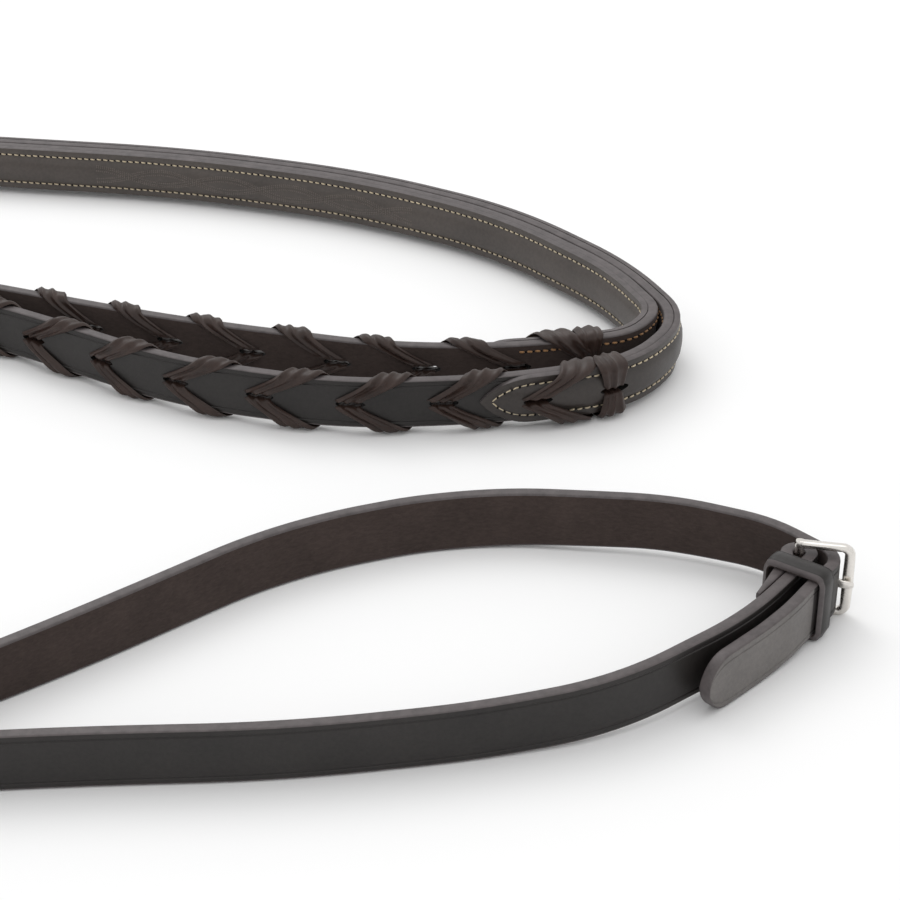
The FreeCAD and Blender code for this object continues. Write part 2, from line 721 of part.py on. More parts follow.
def buckle_frame():
    """A flat frame with three sides, closed by a round hinge bar."""
    body = new_body("buckle_frame_sides")
    half_outer = FRAME_HEIGHT / 2
    bar = size("frame_rail")
    far = FRAME_LENGTH + size("frame_bar") / 2
    near = -size("bar_radius")
    inner_far = far - size("frame_bar")
    half_inner = half_outer - bar
    bend = size("frame_corner")
    sketch = new_sketch(body, "buckle_frame_outline", role="XZ_Plane")
    corner = [Vector(x, z) for x, z in (
        (near, half_inner), (inner_far, half_inner), (inner_far, -half_inner), (near, -half_inner),
        (near, -half_outer), (far - bend, -half_outer), (far, -half_outer + bend),
        (far, half_outer - bend), (far - bend, half_outer), (near, half_outer),
    )]
    lines = [(0, 1), (1, 2), (2, 3), (3, 4), (4, 5), (6, 7), (8, 9), (9, 0)]
    sketch.addGeometry([Part.LineSegment(corner[a], corner[b]) for a, b in lines], False)
    for centre_z, start in ((-half_outer + bend, -90), (half_outer - bend, 0)):
        circle = Part.Circle(Vector(far - bend, centre_z), Vector(0, 0, 1), bend)
        sketch.addGeometry(Part.ArcOfCircle(circle, math.radians(start), math.radians(start + 90)), False)
    feature = body.newObject("PartDesign::Pad", "buckle_frame_pad")
    feature.Profile = sketch
    feature.Midplane = True
    feature.setExpression("Length", "Sizes.frame_depth")
    doc.recompute()
    depth = size("frame_depth")
    rounds = body.newObject("PartDesign::Fillet", "buckle_frame_rounds")
    long_edges = [
        f"Edge{number}" for number, edge in enumerate(feature.Shape.Edges, start=1)
        if edge.BoundBox.YLength < depth / 2 and edge.BoundBox.XMax > 0
    ]
    rounds.Base = (feature, long_edges)
    rounds.Radius = size("frame_round")
    bar_rod = doc.addObject("Part::Cylinder", "buckle_hinge_bar")
    bar_rod.setExpression("Radius", "Sizes.bar_radius")
    bar_rod.Height = 2 * half_inner + bar
    bar_rod.Placement = Placement(Vector(0, 0, -half_inner - bar / 2), Rotation())
    frame = doc.addObject("Part::Fuse", "buckle_frame")
    frame.Label = "buckle_frame"
    frame.Base, frame.Tool = body, bar_rod
    frame.Placement = at_bar
    return frame


def buckle_prong():
    """An eye round the hinge bar and a flat tongue that rests on the near side of the outer bar."""
    body = new_body("buckle_prong")
    inner = size("bar_radius") + size("fit_gap")
    outer = inner + size("prong_wall")
    thick = size("prong_thick")
    rest = -size("frame_depth") / 2 - size("prong_air")
    far = FRAME_LENGTH + size("frame_bar") / 2 + 0.6
    sketch = new_sketch(body, "buckle_prong_outline")
    rise = math.radians(35)
    fall = math.radians(-50)
    top = Vector(outer * math.cos(rise), outer * math.sin(rise))
    bottom = Vector(outer * math.cos(fall), outer * math.sin(fall))
    bent = FRAME_LENGTH * 0.6
    seat = FRAME_LENGTH - size("frame_bar") / 2 - 0.4
    corner = [
        top, Vector(bent, 0.1), Vector(seat, rest), Vector(far, rest - 0.2), Vector(far, rest - thick * 0.7),
        Vector(seat, rest - thick), Vector(bent, 0.1 - thick), bottom,
    ]
    sketch.addGeometry([Part.LineSegment(a, b) for a, b in zip(corner, corner[1:])], False)
    ring = Part.Circle(Vector(0, 0), Vector(0, 0, 1), outer)
    sketch.addGeometry(Part.ArcOfCircle(ring, rise, fall + 2 * math.pi), False)
    sketch.addGeometry(Part.Circle(Vector(0, 0), Vector(0, 0, 1), inner), False)
    feature = body.newObject("PartDesign::Pad", "buckle_prong_pad")
    feature.Profile = sketch
    feature.Midplane = True
    feature.setExpression("Length", "Sizes.prong_width")
    body.Placement = at_bar
    return body


def turn_back_stitching(placement, aside):
    """Two stitch rows through the buckle fold, on the turn-back."""
    thread = size("thread_thick")
    start = -size("turn_back") + 3
    end = -size("buckle_keeper_place") - size("keeper_width") - 1
    rows = []
    for height in (-WIDTH / 2 + size("stitch_inset"), WIDTH / 2 - size("stitch_inset")):
        rows.append(Part.makeBox(end - start, thread, thread, Vector(start, aside, height - thread / 2)))
    return shape_object("turn_back_stitching", Part.makeCompound(rows), placement)


# ---------------------------------------------------------------- assembly

right = Rein("right", right_rein_route(), 1, Vector(167, -6, 0))
left = Rein("left", left_rein_route(), -1, Vector(162, 11, 0))
at_hinge = Placement(HINGE + Vector(0, 0, MIDDLE), Rotation(Vector(0, 0, 1), LEFT_HEADING))
at_bar = Placement(HINGE + Vector(0, 0, FRAME_HEIGHT / 2), Rotation(Vector(0, 0, 1), FRAME_HEADING))
at_prong = Placement(at_bar.Base, at_hinge.Rotation)
pieces = []

for rein in (right, left):
    pieces += [raised_cover(rein), raised_filler(rein), cover_stitching(rein), fancy_stitching(rein)]
    pieces += [lace(rein, 1), lace(rein, -1)]
    pieces += bit_end(rein)

fold_cut = placed(prong_room(-FOLD_RADIUS - THICK, FOLD_RADIUS + THICK, -4.6, 9.0), at_prong)
left_blank = strip("left_strap", left.route, left.flex, left.route.length())
fold_tools = [fold_cut, skive_tool(at_hinge)]
pieces.append(cut("left_strap", left_blank, left.slit_tools(left.route.length()) + fold_tools))

tip_end = right.route.length()
tip_joint = tip_end - size("tip_length") + size("tip_place")
hole_room = size("prong_width") + 2 * size("hole_gap")
hole = slot_tool(size("hole_length"), hole_room, -size("hole_length") / 2, size("hole_length") / 2)
hole_reach = WRAP_RADIUS + WRAP_OFFSET.dot(polar(1, FRAME_HEADING))
hole_place = at_bar.multiply(Placement(Vector(hole_reach, -0.7 * size("prong_thick"), 0),
                                       Rotation(Vector(0, 0, 1), -90)))
right_blank = strip("right_strap", right.route, right.flex, tip_joint)
pieces.append(cut("right_strap", right_blank, right.slit_tools(tip_joint) + [placed(hole, hole_place)]))

tip_blank = strip("right_strap_tip", right.route, tip_joint + size("joint_gap"), tip_end)
tip_place = Placement(right.route.at(tip_end, 0, MIDDLE), Rotation(Vector(0, 0, 1), TIP_HEADING))
pieces.append(cut("right_strap_tip", tip_blank, [tip_tool(tip_place, HALF + 0.1)]))

pieces += [buckle_frame(), buckle_prong()]
keeper_far = size("buckle_keeper_place") + size("keeper_width")
wrap_reach = WRAP_RADIUS + WRAP_OFFSET.dot(polar(1, LEFT_HEADING - 90))
stack = (-wrap_reach - HALF, fold_reach(left.route, size("buckle_keeper_place")))
keeper_place = at_hinge.multiply(Placement(Vector(-keeper_far, 0, 0), Rotation()))
keeper_base = keeper_place.multVec(Vector(size("keeper_width") / 2, -wrap_reach, -MIDDLE))
pieces.append(keeper("buckle_keeper", keeper_place, stack))
pieces.append(turn_back_stitching(at_hinge, -FOLD_RADIUS + THICK + size("layer_gap") + HALF))

doc.recompute()

# The origin is the middle of the whole model's base.
whole = FreeCAD.BoundBox()
for piece in pieces:
    whole.add(piece.Shape.optimalBoundingBox())
shift = Vector(-whole.Center.x, -whole.Center.y, 0)
for piece in pieces:
    piece.Placement = Placement(piece.Placement.Base + shift, piece.Placement.Rotation)
doc.recompute()

for item in doc.Objects:
    if "Invalid" in item.State or "Error" in item.State:
        raise RuntimeError(item.Label + " failed to recompute")
os.makedirs("parts", exist_ok=True)
for piece in pieces:
    if piece.Shape.isNull() or not piece.Shape.isValid():
        raise RuntimeError(piece.Label + " has no valid shape")
    piece.Shape.exportStep(f"parts/{piece.Label}.step")

print("base from", whole.ZMin, "to", whole.ZMax, "sides", whole.XLength, whole.YLength, "shift", shift)
print("rein lengths", right.route.length(), left.route.length())
print("hinge bar at", HINGE + shift)
print("tip flexes at", right.route.at(tip_joint, HALF) + shift)
print("frame heading", FRAME_HEADING)
print("rest face at", keeper_base + shift)
for rein in (right, left):
    print(rein.name, "bit end flexes at", rein.route.at(rein.flex, rein.grain * HALF) + shift)
    print(rein.name, "bit loop at", rein.bit_loop + shift, "bore radius", size("bit_loop_radius"))
    print(rein.name, "flex, cover start, point, band", rein.flex, rein.cover_start, rein.point, rein.band)
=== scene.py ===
"""The looks of the laced snaffle reins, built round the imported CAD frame.

Lengths in this file are millimetres, as in the CAD source; Shell.build() turns them into metres.
Distances along a strap run from its bit end, and distances aside are positive to the left.
"""

import json
import random
from math import atan2, copysign, cos, degrees, dist, hypot, pi, radians, sin, sqrt, tan, tau

import bmesh
import bpy
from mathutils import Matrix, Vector


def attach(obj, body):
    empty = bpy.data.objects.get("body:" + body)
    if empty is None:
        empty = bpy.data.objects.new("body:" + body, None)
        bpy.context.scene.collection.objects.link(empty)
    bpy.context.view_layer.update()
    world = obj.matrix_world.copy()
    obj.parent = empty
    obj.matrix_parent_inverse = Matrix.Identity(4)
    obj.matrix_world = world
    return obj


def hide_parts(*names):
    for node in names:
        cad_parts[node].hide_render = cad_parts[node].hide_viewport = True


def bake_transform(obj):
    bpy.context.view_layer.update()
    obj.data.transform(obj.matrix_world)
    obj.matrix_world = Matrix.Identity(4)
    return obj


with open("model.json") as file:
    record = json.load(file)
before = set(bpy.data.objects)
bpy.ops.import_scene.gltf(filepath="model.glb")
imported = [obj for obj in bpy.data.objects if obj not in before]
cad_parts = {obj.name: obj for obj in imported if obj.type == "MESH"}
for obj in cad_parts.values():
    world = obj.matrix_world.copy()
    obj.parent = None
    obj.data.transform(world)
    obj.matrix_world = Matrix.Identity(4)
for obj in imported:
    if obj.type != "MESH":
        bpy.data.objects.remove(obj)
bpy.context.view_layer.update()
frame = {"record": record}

MM = 0.001
RANDOM = random.Random(7)

# ---------------------------------------------------------------- sizes, as in the CAD source

WIDTH = 16.0
THICK = 3.4
HALF = THICK / 2
LIFT = 2.4
MIDDLE = LIFT + WIDTH / 2
SIDE_GAP = 0.5
LAYER_GAP = 0.3
LEDGE = 2.0
CROWN = 3.2
COVER_PLACE = 3.0
COVER_POINT = 17.0
POINT_INSET = 3.6
FILLER_SHORT = 4.0
LACE_OUT = 1.45
STITCH_INSET = 2.6
BIT_END_LENGTH = 78.0
FLEX_CUT = 0.2
SKIN_GAP = 0.02
BIT_LOOP_RADIUS = 5.8
BILLET_LENGTH = 61.0
STUD_PLACE = 41.0
KEEPER_WIDTH = 6.5
KEEPER_GAP = 0.3
BIT_KEEPERS = {"near": 17.0, "far": 56.0}
BAR_RADIUS = 1.3
FRAME_RAIL = 1.9
FRAME_ROOM = 2.2
FRAME_HEIGHT = WIDTH + FRAME_ROOM + 2 * FRAME_RAIL
FRAME_CLEAR = 1.06
FRAME_BAR = 2.7
FOLD_TURN = 40.0
FOLD_SETTLE = 7.0
WRAP_GAP = 0.6
BAND_GAP = 24.2
POINT_GAP = 41.0
LACE_PITCH = 28.4
LACE_RISE = 11.5
LACE_COUNT = 20
LACE_OVER = 3.6
LACE_INSET = 0.98
SLIT_HALF = 4.6
SLIT_HEIGHT = 1.5
SLIT_SHIFT = 0.6
SLIT_REACH = CROWN + 6
TURN_GAP = 1.7
FANCY_START = 98.0
FANCY_PITCH = 26.0
FANCY_COUNT = 5
FANCY_REACH = 2.7
FANCY_STITCH_PITCH = 0.78
TURN_BACK = 24.0
SKIVE_START = 9.0
SKIVED_THICK = 1.0
BUCKLE_KEEPER_PLACE = 5.0
KEEPER_BACK = 2.9
TIP_PLACE = 12.5
TIP_STRAIGHT = 16.0
FLARE_RADIUS = 60.0
TIP_LENGTH = 56.0


# ---------------------------------------------------------------- plan paths, as in the CAD source


def polar(length, heading):
    """A plan vector of this length, with its heading in degrees from +X."""
    return Vector((length * cos(radians(heading)), length * sin(radians(heading)), 0))


class Run:
    """A straight stretch of a path."""

    def __init__(self, start, heading, length):
        self.start, self.heading, self.length = start, heading, length

    def at(self, along, aside):
        return self.start + polar(along, self.heading) + polar(aside, self.heading + 90)

    def heading_at(self, along):
        return self.heading


class Bend:
    """An arc of a path: a positive turn, in degrees, goes left."""

    def __init__(self, start, heading, radius, turn):
        self.start, self.heading, self.radius = start, heading, radius
        self.side = 1 if turn > 0 else -1
        self.length = radius * radians(abs(turn))
        self.centre = start + polar(radius * self.side, heading + 90)

    def heading_at(self, along):
        return self.heading + self.side * degrees(along / self.radius)

    def at(self, along, aside):
        out = self.side * (self.radius - self.side * aside)
        return self.centre - polar(out, self.heading_at(along) + 90)


class Route:
    """A plan path of straight runs and the tangent arcs between them."""

    def __init__(self, start, heading):
        self.start, self.heading, self.pieces = start, heading, []

    def end(self):
        if not self.pieces:
            return self.start, self.heading
        last = self.pieces[-1]
        return last.at(last.length, 0), last.heading_at(last.length)

    def run(self, length):
        self.pieces.append(Run(*self.end(), length))
        return self

    def bend(self, radius, turn):
        self.pieces.append(Bend(*self.end(), radius, turn))
        return self

    def length(self):
        return sum(piece.length for piece in self.pieces)

    def find(self, along):
        for piece in self.pieces:
            if along <= piece.length or piece is self.pieces[-1]:
                return piece, along
            along -= piece.length

    def at(self, along, aside=0.0, height=0.0):
        piece, rest = self.find(along)
        return piece.at(rest, aside) + Vector((0, 0, height))

    def heading_at(self, along):
        piece, rest = self.find(along)
        return piece.heading_at(rest)

    def nearest(self, point):
        steps = int(self.length())
        return min(range(steps + 1), key=lambda step: (self.at(step) - point).length)

    def stations(self, first, last, step):
        """Places along the route, closer together where it bends tightly."""
        found = [first]
        while found[-1] < last - 0.05:
            piece = self.find(found[-1] + 0.01)[0]
            tight = piece.radius * 0.16 if isinstance(piece, Bend) else step
            found.append(min(found[-1] + max(min(step, tight), 0.35), last))
        return found


def through(points, share=0.45):
    """A route through given points, each rounded as widely as its two runs allow."""
    legs = [end - start for start, end in zip(points, points[1:])]
    headings = [degrees(atan2(leg.y, leg.x)) for leg in legs]
    route = Route(points[0], headings[0])
    used = 0.0
    for number in range(len(legs) - 1):
        turn = (headings[number + 1] - headings[number] + 180) % 360 - 180
        cut = share * min(legs[number].length, legs[number + 1].length)
        route.run(legs[number].length - used - cut)
        route.bend(cut / tan(radians(abs(turn) / 2)), turn)
        used = cut
    return route.run(legs[-1].length - used)


def beside(points, aside):
    """The corners of a line at this distance aside of a line of corners, its two ends included."""
    shifted = []
    for number, point in enumerate(points):
        before = points[number] - points[number - 1] if number else points[1] - points[0]
        after = points[number + 1] - point if number + 1 < len(points) else before
        first, second = (degrees(atan2(leg.y, leg.x)) for leg in (before, after))
        turn = (second - first + 180) % 360 - 180
        shifted.append(point + polar(aside / cos(radians(turn / 2)), first + turn / 2 + 90))
    return shifted


def corners(*places):
    return [Vector((*place, 0)) for place in places]


HINGE = Vector((211.0, -114.3, 0))
WRAP_OFFSET = Vector((1.6, -2.2, 0))
LEFT_HEADING = 54.0
RIGHT_HEADING = -48.0
TIP_HEADING = 225.3
FRAME_HEADING = -11.0
FOLD_RADIUS = BAR_RADIUS + LAYER_GAP + HALF
WRAP_RADIUS = FOLD_RADIUS + THICK + WRAP_GAP
WRAP_FACE = WRAP_RADIUS + HALF + WRAP_OFFSET.dot(polar(1, FRAME_HEADING))
FRAME_LENGTH = WRAP_FACE + FRAME_CLEAR + FRAME_BAR / 2

BACK_CORNERS = corners((-68, 177), (18, 164), (85, 142), (138, 109.5), (174.5, 64.5))
RIGHT_BEND_FACE = corners((190.6, 26.9), (172.9, -1.6), (132.7, -13.3), (84.9, -16.8))
RIGHT_RUN_CORNERS = corners((33, -4), (-31, 36.5))
TURN_CORNERS = corners((-94, 66), (-165, 55), (-210, 1), (-213, -73), (-179, -143), (-118, -184))
RIGHT_LOOP_CORNERS = corners((-47, -191), (13, -148), (73, -97), (123, -79), (180, -87))
LEFT_BEND_FACE = corners((187, 31.2), (177.1, 14), (138.2, 4.3), (98, 4.8))
LEFT_RUN_CORNERS = corners((31, 24), (-29, 47))
LEFT_LOOP_CORNERS = corners((-47, -196), (18, -189.5), (78, -187), (123, -179.5), (160, -170))
RIGHT_BIT_CORNER, RIGHT_BIT_HEADING = Vector((-102, 183.5, 0)), -10.4
LEFT_BIT_CORNER, LEFT_BIT_HEADING = Vector((-102, 178.5, 0)), 15.4
BIT_APPROACH = 13.5
LEFT_APPROACH = 34.0
RIGHT_APPROACH = 19.0

pair_spacing = THICK + SIDE_GAP
turn_spacing = THICK + 2 * LACE_OUT + TURN_GAP


def bit_leg(corner, heading):
    """The straight leg of a bit end and what leads on from it to the first corner."""
    return [corner - polar(BIT_END_LENGTH + BIT_APPROACH, heading), corner]


def right_rein_route():
    touch = HINGE + WRAP_OFFSET + polar(WRAP_RADIUS, RIGHT_HEADING + 90)
    points = bit_leg(RIGHT_BIT_CORNER, RIGHT_BIT_HEADING)
    points += beside(BACK_CORNERS, pair_spacing / 2) + beside(RIGHT_BEND_FACE, HALF)
    points += RIGHT_RUN_CORNERS + TURN_CORNERS + RIGHT_LOOP_CORNERS
    points += [touch - polar(RIGHT_APPROACH, RIGHT_HEADING), touch]
    route = through(points)
    route.bend(WRAP_RADIUS, LEFT_HEADING + 180 - 360 - RIGHT_HEADING)
    end = route.length() + TIP_LENGTH
    route.run(TIP_STRAIGHT).bend(FLARE_RADIUS, TIP_HEADING - LEFT_HEADING - 180)
    return route.run(end - route.length())


def left_rein_route():
    touch = HINGE + polar(FOLD_RADIUS, LEFT_HEADING - 90)
    points = bit_leg(LEFT_BIT_CORNER, LEFT_BIT_HEADING)
    points += beside(BACK_CORNERS, -pair_spacing / 2) + beside(LEFT_BEND_FACE, -HALF)
    points += LEFT_RUN_CORNERS + beside(TURN_CORNERS, -turn_spacing) + LEFT_LOOP_CORNERS
    points += [touch - polar(LEFT_APPROACH, LEFT_HEADING), touch]
    route = through(points)
    over = radians(FOLD_TURN)
    drop = FOLD_RADIUS * (1 + cos(over)) - THICK - LAYER_GAP
    slope = drop - FOLD_SETTLE * (1 - cos(over))
    route.bend(FOLD_RADIUS, 180 + FOLD_TURN)
    route.run(slope / sin(over))
    route.bend(FOLD_SETTLE, -FOLD_TURN)
    return route.run(TURN_BACK - (route.end()[0] - HINGE).length)


joints = frame["record"]["behaviour"]["joints"]
hinge_joint = next(joint for joint in joints if joint["name"] == "buckle_hinge")
SHIFT = Vector(hinge_joint["pos_m"]) / MM - HINGE
SHIFT.z = 0.0


# ---------------------------------------------------------------- meshes


def put(name, data):
    """A new object in the scene."""
    placed = bpy.data.objects.new(name, data)
    bpy.context.collection.objects.link(placed)
    return placed


class Shell:
    """Collects rings, tubes and other surfaces, in millimetres, and builds one mesh piece of them."""

    def __init__(self, name, materials):
        self.name, self.materials = name, materials
        self.points, self.faces, self.slots = [], [], []

    def rings(self, rings, slots=0, closed=False, cap=None):
        """A skin through rings of points. slots is one material for all, or one for each side."""
        base = len(self.points)
        count = len(rings[0])
        for ring in rings:
            self.points.extend(ring)
        sides = [slots] * count if isinstance(slots, int) else slots
        last = len(rings) if closed else len(rings) - 1
        for number in range(last):
            here = base + number * count
            there = base + (number + 1) % len(rings) * count
            for side in range(count):
                after = (side + 1) % count
                self.faces.append((here + side, here + after, there + after, there + side))
                self.slots.append(sides[side])
        if not closed:
            first, end = base, base + (len(rings) - 1) * count
            self.faces.append(tuple(first + side for side in reversed(range(count))))
            self.faces.append(tuple(end + side for side in range(count)))
            self.slots += [sides[0] if cap is None else cap] * 2
        return self

    def mesh(self):
        data = bpy.data.meshes.new(self.name)
        data.from_pydata([(point + SHIFT) * MM for point in self.points], [], self.faces)
        for material in self.materials:
            data.materials.append(material)
        data.polygons.foreach_set("material_index", self.slots)
        data.polygons.foreach_set("use_smooth", [True] * len(data.polygons))
        data.update()
        return data

    def build(self, sharp=38.0):
        data = self.mesh()
        form = bmesh.new()
        form.from_mesh(data)
        bmesh.ops.recalc_face_normals(form, faces=form.faces)
        form.to_mesh(data)
        form.free()
        data.set_sharp_from_angle(angle=radians(sharp))
        return put(self.name, data)


def finish_piece(piece, body, slot, *nodes):
    """Fixes a piece to its body and hides the CAD nodes that it stands for; its slot is not used."""
    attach(piece, body)
    if nodes:
        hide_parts(*nodes)
    return piece


def carve(piece, cutter):
    """Takes the cutter's shape out of a piece, then removes the cutter."""
    work = piece.modifiers.new("carve", "BOOLEAN")
    work.operation, work.solver, work.object = "DIFFERENCE", "EXACT", cutter
    work.use_self = False
    work.material_mode = "TRANSFER"
    graph = bpy.context.evaluated_depsgraph_get()
    result = bpy.data.meshes.new_from_object(piece.evaluated_get(graph))
    piece.modifiers.clear()
    piece.data = result
    bpy.data.objects.remove(cutter)
    result.set_sharp_from_angle(angle=radians(38))
    return piece


def blend_values(pairs, place):
    """A smooth value between given (place, value) pairs."""
    if place <= pairs[0][0]:
        return pairs[0][1]
    for (start, low), (end, high) in zip(pairs, pairs[1:]):
        if place <= end:
            share = (place - start) / (end - start)
            share = share * share * (3 - 2 * share)
            return low + (high - low) * share
    return pairs[-1][1]


def spline(nodes, steps):
    """Catmull-Rom points through lists of numbers."""
    def blended(p, q, r, s, t):
        square, cube = 2 * p - 5 * q + 4 * r - s, 3 * q - p - 3 * r + s
        return 0.5 * (2 * q + (r - p) * t + square * t * t + cube * t ** 3)

    found = []
    for number in range(len(nodes) - 1):
        near = [nodes[min(max(number + move, 0), len(nodes) - 1)] for move in (-1, 0, 1, 2)]
        for step in range(steps):
            found.append([blended(*values, step / steps) for values in zip(*near)])
    return found + [list(nodes[-1])]


# ---------------------------------------------------------------- materials


def preset(node, **values):
    """Sets a node's inputs. An underscore stands for a space in an input's name."""
    for name, value in values.items():
        node.inputs[name.replace("_", " ")].default_value = value
    return node


def shader_of(tree, kind):
    return next(node for node in tree.nodes if node.type == kind)


class Recipe:
    """A node material with short helpers: every texture is in the object's own metres."""

    def __init__(self, name, roughness, metallic=0.0, coat=0.0, sheen=0.0, specular=0.5):
        self.material = bpy.data.materials.new(name)
        self.material.use_nodes = True
        self.tree = self.material.node_tree
        self.shader = preset(
            shader_of(self.tree, "BSDF_PRINCIPLED"), Roughness=roughness, Metallic=metallic, Coat_Weight=coat,
            Coat_Roughness=0.35, Sheen_Weight=sheen, Specular_IOR_Level=specular,
        )
        self.place = self.add("ShaderNodeTexCoord").outputs["Object"]

    def add(self, kind, **values):
        node = self.tree.nodes.new(kind)
        for name, value in values.items():
            setattr(node, name, value)
        return node

    def link(self, output, target):
        self.tree.links.new(output, target)

    def stretched(self, scale):
        node = preset(self.add("ShaderNodeMapping"), Scale=scale)
        self.link(self.place, node.inputs["Vector"])
        return node.outputs["Vector"]

    def noise(self, scale, detail=3.0, rough=0.55, place=None):
        node = preset(self.add("ShaderNodeTexNoise"), Scale=scale, Detail=detail, Roughness=rough)
        self.link(place or self.place, node.inputs["Vector"])
        return node.outputs["Fac"]

    def cells(self, scale):
        node = preset(self.add("ShaderNodeTexVoronoi", feature="DISTANCE_TO_EDGE"), Scale=scale)
        self.link(self.place, node.inputs["Vector"])
        return node.outputs["Distance"]

    def ramp(self, value, stops):
        node = self.add("ShaderNodeValToRGB")
        self.link(value, node.inputs["Fac"])
        bands = node.color_ramp.elements
        while len(bands) < len(stops):
            bands.new(0.5)
        for band, (place, colour) in zip(bands, stops):
            band.position = place
            band.color = (*colour, 1)
        return node.outputs["Color"]

    def tint(self, value, base, spread, *places):
        """A darker shade of one colour at the first place and a lighter one at the last, itself between."""
        factors = (1 - spread, 1, 1 + spread) if len(places) == 3 else (1 - spread, 1 + spread)
        shades = [tuple(channel * factor for channel in base) for factor in factors]
        return self.ramp(value, list(zip(places, shades)))

    def span(self, value, low, high):
        node = preset(self.add("ShaderNodeMapRange"), To_Min=low, To_Max=high)
        self.link(value, node.inputs["Value"])
        return node.outputs["Result"]

    def mix(self, share, first, second):
        node = preset(self.add("ShaderNodeMix", data_type="RGBA"), Factor=share)
        for name, value in (("A", first), ("B", second)):
            socket = next(s for s in node.inputs if s.name == name and s.type == "RGBA")
            self.link(value, socket)
        return next(s for s in node.outputs if s.type == "RGBA")

    def colour(self, value):
        self.link(value, self.shader.inputs["Base Color"])
        return self

    def rough(self, value):
        self.link(value, self.shader.inputs["Roughness"])
        return self

    def bump(self, *layers):
        """Bumps on top of each other: (height, strength, depth in millimetres)."""
        last = None
        for height, strength, depth in layers:
            node = preset(self.add("ShaderNodeBump"), Strength=strength, Distance=depth * MM)
            self.link(height, node.inputs["Height"])
            if last is not None:
                self.link(last, node.inputs["Normal"])
            last = node.outputs["Normal"]
        self.link(last, self.shader.inputs["Normal"])
        return self


def grain_leather(name, base, roughness, specular):
    """Waxed bridle leather: fine pores, faint creases and soft clouds of colour."""
    made = Recipe(name, roughness, coat=0.12, specular=specular)
    clouds = made.tint(made.noise(55, 5), base, 0.28, 0.3, 0.52, 0.75)
    specks = made.tint(made.noise(900, 2), base, 0.28, 0.35, 0.62)
    made.colour(made.mix(0.35, clouds, specks))
    made.rough(made.span(made.noise(160, 3), roughness - 0.07, roughness + 0.09))
    pores = made.ramp(made.cells(1900), ((0.0, (0, 0, 0)), (0.16, (1, 1, 1))))
    creases, waves = made.noise(420, 4), made.noise(70, 2)
    return made.bump((pores, 0.25, 0.05), (creases, 0.3, 0.12), (waves, 0.15, 0.3)).material


def flesh_leather(name, base):
    """The split side: matt, fibrous and brown."""
    made = Recipe(name, 0.88, sheen=0.08, specular=0.12)
    fibres = made.noise(520, 6, 0.7, made.stretched((1.0, 1.0, 2.6)))
    clouds = made.tint(made.noise(70, 4), base, 0.3, 0.3, 0.55, 0.8)
    made.colour(made.mix(0.45, clouds, made.tint(fibres, base, 0.3, 0.36, 0.64)))
    return made.bump((fibres, 0.5, 0.16), (made.noise(1500, 3), 0.4, 0.06)).material


def edge_leather(name, base):
    """A dyed and burnished cut edge, streaked along the layers of the hide."""
    made = Recipe(name, 0.5, coat=0.05, specular=0.4)
    streaks = made.noise(300, 5, 0.65)
    made.colour(made.tint(streaks, base, 0.3, 0.3, 0.5, 0.72))
    made.rough(made.span(made.noise(220, 3), 0.42, 0.62))
    return made.bump((streaks, 0.35, 0.1), (made.noise(1200, 3), 0.25, 0.05)).material


def lace_leather(name, base):
    """Soft lace leather, stretched and pleated, so its folds run along it."""
    made = Recipe(name, 0.34, coat=0.05, specular=0.3)
    pleats = made.noise(620, 4, 0.6)
    clouds = made.tint(made.noise(140, 4), base, 0.35, 0.3, 0.5, 0.74)
    made.colour(made.mix(0.4, clouds, made.tint(pleats, base, 0.35, 0.3, 0.7)))
    made.rough(made.span(made.noise(260, 3), 0.3, 0.52))
    return made.bump((pleats, 0.4, 0.12), (made.noise(1700, 3), 0.3, 0.05)).material


def thread(name, base):
    """Waxed linen thread with its twist."""
    made = Recipe(name, 0.55, sheen=0.2, specular=0.4)
    made.colour(made.tint(made.noise(900, 3), base, 0.22, 0.3, 0.5, 0.72))
    wave = preset(made.add("ShaderNodeTexWave", bands_direction="DIAGONAL"), Scale=900)
    made.link(made.place, wave.inputs["Vector"])
    return made.bump((wave.outputs["Fac"], 0.5, 0.08)).material


def metal(name, base):
    """Soft polished nickel silver with fine rub marks."""
    made = Recipe(name, 0.24, metallic=1.0)
    rubbed = made.noise(480, 4, 0.6, made.stretched((1.0, 1.0, 6.0)))
    made.colour(made.tint(made.noise(120, 3), base, 0.1, 0.3, 0.55, 0.8))
    made.rough(made.span(rubbed, 0.2, 0.32))
    return made.bump((rubbed, 0.05, 0.03)).material


GRAIN = grain_leather("havana grain", (0.0185, 0.0160, 0.0150), 0.45, 0.29)
# The free tip is given a grain colour more than five times lighter than the rest of the rein: painted
# reflection of the bright floor.
TIP_GRAIN_PAINTED_REFLECTION = grain_leather("handled havana grain", (0.105, 0.095, 0.089), 0.42, 0.5)
# The two raised covers are one leather, given two shades: the left lighter and the right darker, as painted
# light and shade.
RAISED_GRAIN = {
    "right": grain_leather("right raised grain", (0.034, 0.0275, 0.0245), 0.44, 0.36),
    "left": grain_leather("left raised grain", (0.056, 0.0455, 0.0395), 0.42, 0.42),
}
FLESH = flesh_leather("havana flesh", (0.050, 0.0365, 0.0325))
EDGE = edge_leather("burnished edge", (0.082, 0.070, 0.070))
LACE = lace_leather("lace leather", (0.032, 0.0185, 0.0145))
CORE = flesh_leather("core leather", (0.26, 0.17, 0.11))
CREAM = thread("cream thread", (0.50, 0.42, 0.29))
TAN = thread("tan thread", (0.30, 0.155, 0.06))
BROWN = thread("brown thread", (0.105, 0.087, 0.074))
# Stitch holes and the walls of the lace slits are coloured near black: painted shade in these recesses.
SHADED_HOLE = flesh_leather("stitch hole painted shade", (0.006, 0.005, 0.004))
METAL = metal("nickel silver", (0.76, 0.73, 0.69))

GRAIN_SIDE, EDGE_SIDE, FLESH_SIDE = range(3)
CREASE_INSET = 1.9


# ---------------------------------------------------------------- straps


